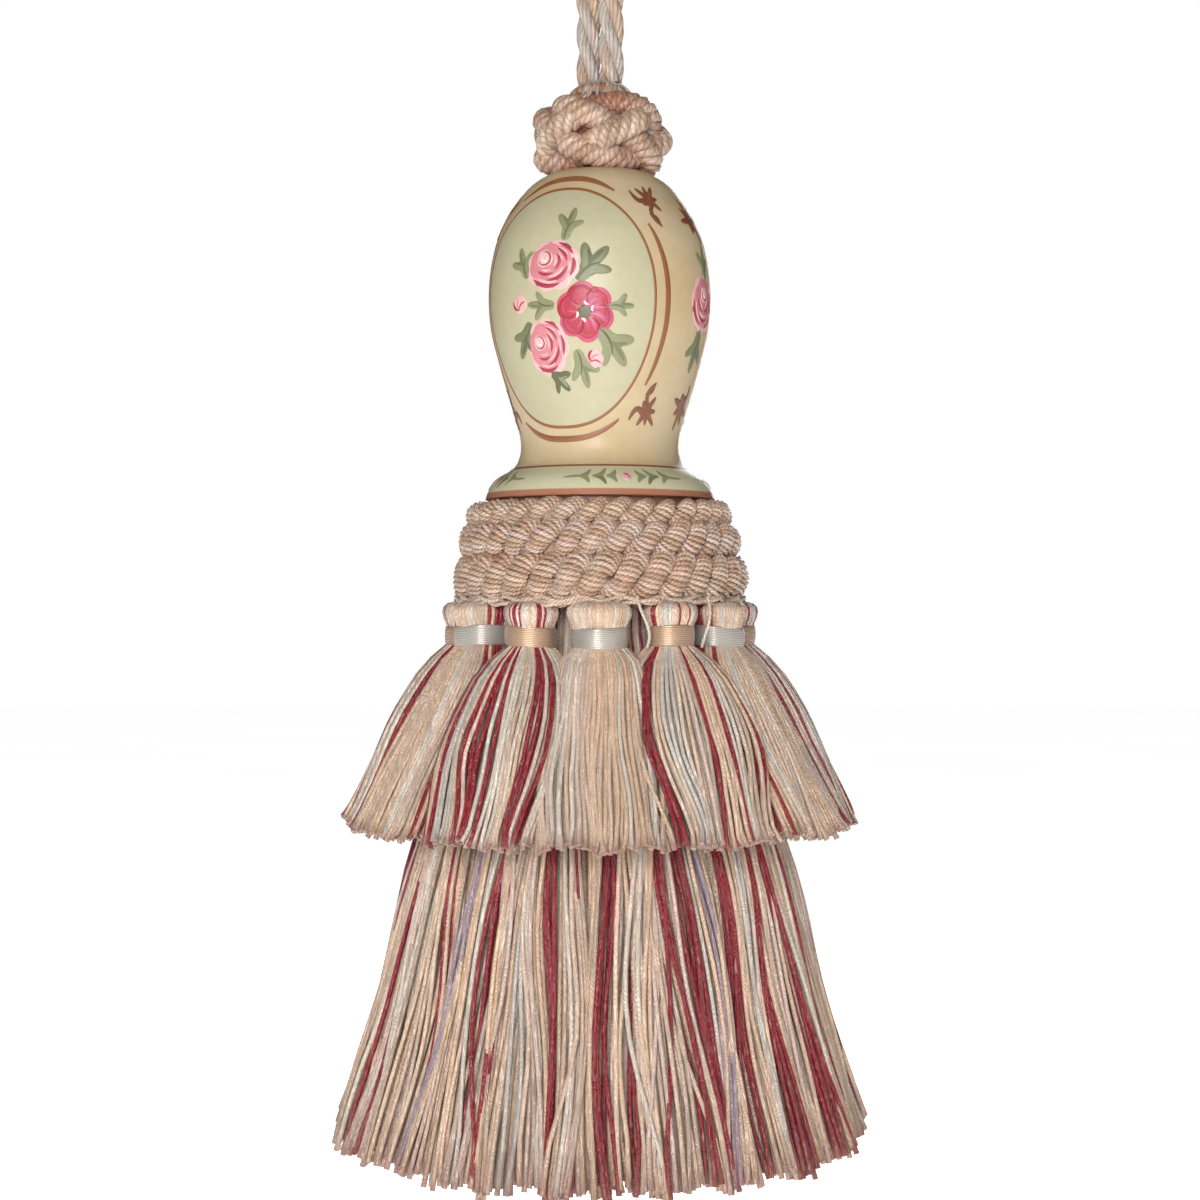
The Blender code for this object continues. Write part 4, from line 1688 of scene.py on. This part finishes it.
@dataclass
class SmallTassel:
    """A small tassel of the upper tier: its yarns, from over its head to the cut hem."""

    number: int
    kind: Kind
    fringe: Fringe = Fringe()
    dye: Dye = Dye()
    layers: tuple[Layer, ...] = (Layer(1.0, 60), Layer(0.83, 48), Layer(0.62, 32), Layer(0.34, 18))
    section: float = 0.5
    outer_layers: int = 2
    neck: float = NECK
    bulge: float = 5.7
    head_top: float = 179.5
    head_levels: int = 7
    fall_levels: int = 13
    core_levels: int = 8
    lean: float = 0.02
    levels: tuple[Level, ...] = (
        Level(187.4, NECK_REACH, 4.2, 4.2),
        Level(188.7, 26.5, 6.3, 5.2),
        Level(190.6, 27.6, 7.5, 5.6),
        Level(197.0, 31.0, 8.8, 5.6),
        Level(205.0, 35.4, 9.9, 5.5),
        Level(222.8, 45.5, 11.7, 5.0),
    )

    def build(self, material: bpy.types.Material, stripes: tuple[Stripe, ...]) -> None:
        """Draw the yarns and settle the piece.

        Args:
            material: the yarn's finish.
            stripes: groups of coloured yarn by their share of the way across.
        """
        rng = np.random.default_rng(400 + self.number)
        weaver = Weaver(f"yarns_{self.number:02d}")
        turn = TAU * (self.number - 1) / SMALL_TASSELS
        outward = np.array((math.sin(turn), -math.cos(turn), 0.0))
        for depth, layer in enumerate(self.layers):
            places = even_ring(layer.yarns, self.section, self.number * 0.37 + depth * 0.5)
            surface = depth < self.outer_layers
            places = places * layer.share * rng.normal(1.0, 0.018 + 0.02 * depth, (layer.yarns, 1))
            length = self.levels[-1].drop - self.levels[0].drop
            share = self.fringe.shares(self.fall_levels if surface else self.core_levels, length)
            lines = self.fall(places, share, rng)
            tints = self.dye.colour(places[:, 0], np.full(layer.yarns, depth), stripes, rng)
            # painted light: deeper layers are tinted lighter to make up for the shade that falls on them
            tints = tints * (1 + 0.10 * depth)
            radius = np.broadcast_to(self.fringe.thickness(share), lines.shape[:2])
            tints = self.fringe.tint(tints, share)
            if depth == 0:
                head = self.over_head(places)
                lines = np.concatenate((head, lines), axis=1)
                radius = np.concatenate((np.full(head.shape[:2], 1.02 * self.fringe.radius), radius), axis=1)
                tints = np.concatenate((np.repeat(tints[:, :1], self.head_levels, axis=1), tints), axis=1)
            weaver.add_tubes(turn_round(lines, turn), radius, tints, outward, 5 if surface else 4)
        settle(weaver.make(material), self.kind.value, f"small_tassel_{self.number:02d}")

    def over_head(self, places: Array) -> Array:
        """Lead the outer yarns from the head's top over its bulge to the neck."""
        share = np.linspace(0.0, 1.0, self.head_levels, endpoint=False)
        round_ = unit(places * (1.0, 0.85))
        knots = (0.0, 0.25, 0.55, 0.8, 1.0)
        sizes = (0.8, 4.6, self.bulge, self.bulge - 0.5, self.neck - 0.5)
        size = blend_rows(share, knots, sizes) * self.kind.slimness
        drop = blend_rows(share, knots, (self.head_top, 179.9, 181.3, 183.0, 184.6))
        lumps = 1 + 0.04 * np.sin(3 * np.arctan2(*round_.T) + self.number)[:, None]
        across = round_[:, 0, None] * size * lumps
        out = NECK_REACH - round_[:, 1, None] * size * lumps
        return np.stack(np.broadcast_arrays(across, -out, -drop), axis=-1)

    def fall(self, places: Array, share: Array, rng: np.random.Generator) -> Array:
        """Hang the yarns from the neck to the hem.

        Args:
            places: the yarns' places on the unit section.
            share: how far down the fall each level is.
            rng: the source of chance.

        Returns:
            The yarns' lines, for a tassel at the front.
        """
        drop, reach, half_width, half_depth = read_levels(self.levels, share)
        slim = blend_rows(share, (0.0, 0.03, 0.08, 1.0), (self.kind.slimness, self.kind.slimness, 1.0, 1.0))
        pull = self.fringe.clump_pull(places, self.number)[:, None] * (share**1.3)[None, :, None]
        spot = places[:, None] + pull
        stray = self.fringe.wandering(len(places), share, rng)
        stray = stray + self.fringe.swaying(9.0 * places[:, 0], share, self.number)
        lean = self.lean * math.sin(2.7 * self.number) * (drop - drop[0])
        across = slim * half_width * spot[..., 0] + stray[..., 0] + lean
        out = reach - slim * half_depth * spot[..., 1] + 0.6 * stray[..., 1]
        uneven = rng.normal(0.0, 0.6, len(places)) + 0.8 * np.sin(5.3 * places[:, 0] + self.number)
        drop = drop + self.fringe.hem * uneven[:, None] * share**2
        return np.stack((across, -out, -drop), axis=-1)


PLAIN_STRIPES = (
    (
        Stripe(-0.66, 0.04, Shade.IVORY),
        Stripe(-0.20, 0.07, Shade.PEACH),
        Stripe(0.30, 0.06, Shade.GOLD),
        Stripe(0.82, 0.05, Shade.IVORY),
    ),
    (
        Stripe(-0.94, 0.03, Shade.WINE),
        Stripe(-0.72, 0.07, Shade.PEARL),
        Stripe(-0.40, 0.05, Shade.IVORY),
        Stripe(0.10, 0.08, Shade.GOLD),
        Stripe(0.55, 0.06, Shade.PEARL),
        Stripe(0.96, 0.03, Shade.WINE),
    ),
)
STRIPED = (
    (
        Stripe(-0.90, 0.04, Shade.WINE),
        Stripe(-0.66, 0.035, Shade.WINE),
        Stripe(-0.48, 0.11, Shade.PEARL),
        Stripe(-0.28, 0.03, Shade.WINE),
        Stripe(-0.09, 0.075, Shade.WINE),
        Stripe(0.14, 0.045, Shade.WINE),
        Stripe(0.34, 0.08, Shade.IVORY),
        Stripe(0.70, 0.06, Shade.WINE),
        Stripe(0.85, 0.05, Shade.WINE),
    ),
    (
        Stripe(-0.86, 0.05, Shade.WINE),
        Stripe(-0.58, 0.12, Shade.PEARL),
        Stripe(-0.10, 0.04, Shade.WINE),
        Stripe(0.02, 0.04, Shade.WINE),
        Stripe(0.28, 0.045, Shade.WINE),
        Stripe(0.42, 0.06, Shade.IVORY),
        Stripe(0.80, 0.055, Shade.WINE),
    ),
)


@dataclass
class UpperTier:
    """The ring of small tassels with their neck bands, the two kinds taking turns."""

    band_top: float = 184.0
    band_bottom: float = 187.9
    band_rows: int = 14
    band_sides: int = 44
    slack: float = 0.4

    def build(self) -> None:
        """Make the small tassels, then their bands."""
        yarn = {kind: YarnFinish(kind.value.replace("_", " ")).make() for kind in Kind}
        satin = {
            Kind.PLAIN: SatinFinish("silver satin", Shade.SILVER).make(),
            Kind.STRIPED: SatinFinish("peach satin", Shade.SATIN_PEACH).make(),
        }
        slots = {Kind.PLAIN: "silver_satin", Kind.STRIPED: "peach_satin"}
        for number in range(1, SMALL_TASSELS + 1):
            kind = Kind.PLAIN if number % 2 else Kind.STRIPED
            choice = (number // 2) % 2
            stripes = STRIPED[choice] if kind is Kind.STRIPED else PLAIN_STRIPES[choice]
            SmallTassel(number, kind).build(yarn[kind], stripes)
            band = self.wind_band(number, kind, satin[kind])
            settle(band, slots[kind], f"neck_band_{number:02d}")

    def wind_band(self, number: int, kind: Kind, material: bpy.types.Material) -> bpy.types.Object:
        """Wind a band round a neck.

        Args:
            number: which tassel it is on.
            kind: the tassel's kind, which sets the neck's size.
            material: the satin.

        Returns:
            The band.
        """
        inner = NECK * kind.slimness + self.slack
        profile = np.linspace(0.0, 1.0, self.band_rows)
        outer = inner + 0.30 + 0.28 * np.sin(math.pi * profile) ** 0.5
        drop = self.band_top + profile * (self.band_bottom - self.band_top)
        radius = np.concatenate((outer, [inner, inner, outer[0]]))
        drop = np.concatenate((drop, [self.band_bottom, self.band_top, self.band_top]))
        turn = -ring(self.band_sides)
        centre = TAU * (number - 1) / SMALL_TASSELS
        lumps = 1 + 0.025 * np.sin(2 * turn + number) + 0.015 * np.sin(5 * turn + 3 * number)
        slant = 0.35 * np.sin(turn + 2.1 * number)
        points = round_axis(turn[None], radius[:, None] * lumps, drop[:, None] + slant)
        points = points + round_axis(centre, NECK_REACH, 0.0)
        weaver = Weaver(f"satin_band_{number:02d}")
        along = np.abs(drop - self.band_top)[None]
        around = np.linspace(0.0, 1.0, self.band_sides + 1)
        weaver.add_grid(points[None], Shade.SILVER.linear(), around, along, wraps=True)
        return weaver.make(material, sharp_from=60.0)


@dataclass
class Skirt:
    """The lower skirt: nine bunches of long yarns, fixed under the head."""

    bunches: int = 9
    first: float = 16.0
    half_bunch: float = 18.0
    fall_levels: int = 20
    core_levels: int = 10
    outer_layers: int = 2
    fringe: Fringe = Fringe(radius=0.47, clumps=10, gather=0.16, sway=1.15, wave=0.42, hem=0.9, frayed=2.4)
    dye: Dye = Dye(unevenness=0.10)
    layers: tuple[Layer, ...] = (
        Layer(-1.0, 40),
        Layer(-0.72, 36),
        Layer(-0.35, 30),
        Layer(0.15, 28),
        Layer(0.75, 26),
    )
    inner_fullness: float = 0.8
    stray_shades: tuple[Shade, ...] = (Shade.IVORY, Shade.PEACH, Shade.WINE, Shade.BLUSH)
    stray_reach: float = 3.6
    levels: tuple[Level, ...] = (
        Level(179.2, 14.0, 15.6, 4.4),
        Level(186.0, 14.4, 15.8, 4.4),
        Level(205.0, 22.9, 17.2, 4.4),
        Level(228.0, 31.5, 18.4, 4.8),
        Level(257.0, 38.8, 19.9, 5.2),
        Level(283.0, 46.6, 20.6, 6.0),
    )
    stripes: tuple[Stripe, ...] = (
        Stripe(-88, 0.6, Shade.WINE),
        Stripe(-75, 0.6, Shade.WINE),
        Stripe(-61.5, 0.9, Shade.WINE),
        Stripe(-57, 2.0, Shade.IVORY),
        Stripe(-49, 0.5, Shade.WINE),
        Stripe(-41, 1.2, Shade.MAUVE),
        Stripe(-31, 0.65, Shade.WINE),
        Stripe(-27, 0.5, Shade.WINE),
        Stripe(-20, 0.9, Shade.PEARL),
        Stripe(-13, 0.6, Shade.WINE),
        Stripe(-5.6, 0.6, Shade.WINE),
        Stripe(-3.6, 1.0, Shade.MAUVE),
        Stripe(2.5, 0.9, Shade.WINE),
        Stripe(6.7, 0.6, Shade.WINE),
        Stripe(12, 1.0, Shade.IVORY),
        Stripe(19.6, 0.8, Shade.WINE),
        Stripe(24, 1.1, Shade.WINE),
        Stripe(27, 0.9, Shade.MAUVE),
        Stripe(37.3, 2.0, Shade.WINE),
        Stripe(43, 1.0, Shade.PEARL),
        Stripe(48.7, 2.4, Shade.WINE),
        Stripe(58, 1.3, Shade.WINE),
        Stripe(70, 0.6, Shade.WINE),
        Stripe(84, 1.2, Shade.IVORY),
    )

    def build(self) -> None:
        """Hang and settle each bunch."""
        material = YarnFinish("skirt yarn", level=0.94).make()
        around = self.stripes + tuple(
            stripe._replace(middle=(stripe.middle + 342 + 6 * math.sin(stripe.middle)) % 360 - 180)
            for stripe in self.stripes
        )
        for number in range(self.bunches):
            piece = self.hang_bunch(number, around, material)
            settle(piece, "skirt_yarn", f"skirt_bunch_{number + 1}")

    def hang_bunch(
        self, number: int, stripes: tuple[Stripe, ...], material: bpy.types.Material
    ) -> bpy.types.Object:
        """Hang one bunch's yarns.

        Args:
            number: which bunch, from 0.
            stripes: coloured groups by their angle round the tassel.
            material: the yarn's finish.

        Returns:
            The bunch.
        """
        rng = np.random.default_rng(900 + number)
        centre = self.first + 360 / self.bunches * number
        weaver = Weaver(f"long_yarns_{number + 1}")
        length = self.levels[-1].drop - self.levels[0].drop
        for depth, layer in enumerate(self.layers):
            surface = depth < self.outer_layers
            share = self.fringe.shares(self.fall_levels if surface else self.core_levels, length)
            across = np.linspace(-1.0, 1.0, layer.yarns) + rng.normal(0.0, 0.012, layer.yarns)
            round_off = 0.22 * np.abs(across) ** 6
            inward = layer.share * (1 - round_off) + rng.normal(0, 0.05, layer.yarns)
            places = np.stack((across, inward), axis=-1)
            lines = self.fall(places, centre, share, rng)
            at = (centre + self.half_bunch * across + 180) % 360 - 180
            # painted light: deeper layers are tinted lighter to make up for the shade that falls on them
            tints = self.dye.colour(at, np.full(layer.yarns, depth), stripes, rng) * (1 + 0.08 * depth)
            tints = self.fringe.tint(tints, share)
            radius = self.fringe.thickness(share) * (1.0 if surface else 1 + self.inner_fullness * share)
            weaver.add_tubes(lines, radius, tints, away(lines), 5 if surface else 4)
        self.add_strays(weaver, centre, rng)
        return weaver.make(material)

    def fall(self, places: Array, centre: float, share: Array, rng: np.random.Generator) -> Array:
        """Lead yarns down the bunch.

        Args:
            places: across the bunch and through it, both from -1 to 1.
            centre: the bunch's middle, in degrees round the tassel.
            share: how far down the fall each level is.
            rng: the source of chance.

        Returns:
            The yarns' lines.
        """
        drop, reach, half_angle, half_depth = read_levels(self.levels, share)
        pull = self.fringe.clump_pull(places, int(centre))[:, None] * (share**1.5)[None, :, None]
        spot = places[:, None] + pull
        at = np.radians(centre + self.half_bunch * places[:, 0])
        stray = self.fringe.wandering(len(places), share, rng) + self.fringe.swaying(38.0 * at, share, 3)
        out = reach - half_depth * spot[..., 1] + 0.6 * stray[..., 1]
        angle = np.radians(centre + half_angle * spot[..., 0]) + stray[..., 0] / out
        uneven = rng.normal(0.0, 0.6, len(places)) + 0.9 * np.sin(31 * at + 1.0)
        drop = drop + self.fringe.hem * uneven[:, None] * share**3
        return round_axis(angle, out, drop)

    def add_strays(self, weaver: Weaver, centre: float, rng: np.random.Generator) -> None:
        """Add the few yarns that cross over the others on the surface."""
        share = self.fringe.shares(self.fall_levels, self.levels[-1].drop - self.levels[0].drop)
        count = len(self.stray_shades)
        across = rng.uniform(-0.85, 0.85, count)
        lines = self.fall(np.stack((across, np.full(count, -1.12)), axis=-1), centre, share, rng)
        swing = rng.choice((-1.0, 1.0), (count, 1)) * self.stray_reach
        round_reach = np.hypot(lines[..., 0], lines[..., 1])
        bow = swing * np.sin(math.pi * np.clip(1.6 * share - 0.5, 0, 1)) / round_reach
        lines = turn_round(lines, bow)
        tints = self.fringe.tint(tints_of(*self.stray_shades), share)
        weaver.add_tubes(lines, self.fringe.thickness(share), tints, away(lines))


@dataclass
class Studio:
    """The photograph's view, plain soft light and a plain pale floor."""

    distance: float = 0.40
    height: float = -0.179
    lens: float = 60.0
    sensor: float = 36.0
    floor_drop: float = 0.42
    floor_size: float = 8.0
    fill: float = 0.02
    key_energy: float = 11.0
    lamp_size: float = 0.45
    key_place: tuple[float, float, float] = (-0.12, -0.98, 0.03)
    back_energy: float = 5.0
    back_place: tuple[float, float, float] = (0.10, 1.00, 0.03)
    floor_light: float = 3.4
    floor_light_spread: float = math.radians(60.0)

    def place_camera(self) -> None:
        """Place the camera level with the middle of the picture."""
        data = bpy.data.cameras.new("camera")
        data.lens = self.lens
        data.sensor_width = self.sensor
        camera = bpy.data.objects.new("camera", data)
        camera.location = (0.0, -self.distance, self.height)
        camera.rotation_euler = (math.pi / 2, 0.0, 0.0)
        bpy.context.scene.collection.objects.link(camera)
        bpy.context.scene.camera = camera

    def light(self) -> None:
        """Light the object: a faint fill all round, a broad key in front and a weaker one behind."""
        world = bpy.data.worlds.new("studio")
        world.use_nodes = True
        tree = world.node_tree
        background = tree.nodes["Background"]
        background.inputs["Color"].default_value = (1.0, 1.0, 1.0, 1.0)
        seen = tree.nodes.new("ShaderNodeLightPath")
        strength = tree.nodes.new("ShaderNodeMapRange")
        strength.inputs["To Min"].default_value = self.fill
        strength.inputs["To Max"].default_value = 1.0
        tree.links.new(seen.outputs["Is Camera Ray"], strength.inputs["Value"])
        tree.links.new(strength.outputs["Result"], background.inputs["Strength"])
        bpy.context.scene.world = world
        self.add_lamp("key", self.key_place, self.key_energy)
        self.add_lamp("back", self.back_place, self.back_energy)
        bpy.context.scene.view_settings.view_transform = "Standard"

    def add_lamp(self, name: str, place: tuple[float, float, float], energy: float) -> None:
        """Add a square lamp that faces the middle of the object.

        Args:
            name: the lamp's name.
            place: where it stands, in metres.
            energy: its power in watts.
        """
        lamp = bpy.data.lights.new(name, "AREA")
        lamp.energy = energy
        lamp.size = self.lamp_size
        thing = bpy.data.objects.new(name, lamp)
        thing.location = place
        aim = Vector((0.0, 0.0, self.height)) - thing.location
        thing.rotation_euler = aim.to_track_quat("-Z", "Y").to_euler()
        bpy.context.scene.collection.objects.link(thing)

    def lay_floor(self) -> None:
        """Lay the floor."""
        recipe = Recipe("floor")
        grain = recipe.noise(recipe.place(), 3.0)
        recipe.finish(Base_Color=recipe.tone((0.95, 0.95, 0.95), 0.98 + grain * 0.04), Roughness=0.8)
        bpy.ops.mesh.primitive_plane_add(size=self.floor_size, location=(0.0, 0.0, -self.floor_drop))
        floor = bpy.context.object
        floor.name = "floor"
        floor.data.materials.append(recipe.material)
        self.light_floor(floor)

    def light_floor(self, floor: bpy.types.Object) -> None:
        """Add the light that falls straight down and reaches only the floor, which keeps it pale."""
        light = bpy.data.lights.new("floor_light", "SUN")
        light.energy = self.floor_light
        light.angle = self.floor_light_spread
        thing = bpy.data.objects.new("floor_light", light)
        bpy.context.scene.collection.objects.link(thing)
        reached = bpy.data.collections.new("reached_by_floor_light")
        reached.objects.link(floor)
        thing.light_linking.receiver_collection = reached


def main() -> None:
    """Build the scene, the camera and the cord first."""
    logging.basicConfig(level=logging.INFO, format="%(name)s: %(message)s")
    studio = Studio()
    studio.place_camera()
    HangingLoop().build()
    Knot().build()
    Head().build()
    Collar().build()
    UpperTier().build()
    Skirt().build()
    studio.light()
    studio.lay_floor()


if __name__ == "__main__":
    main()
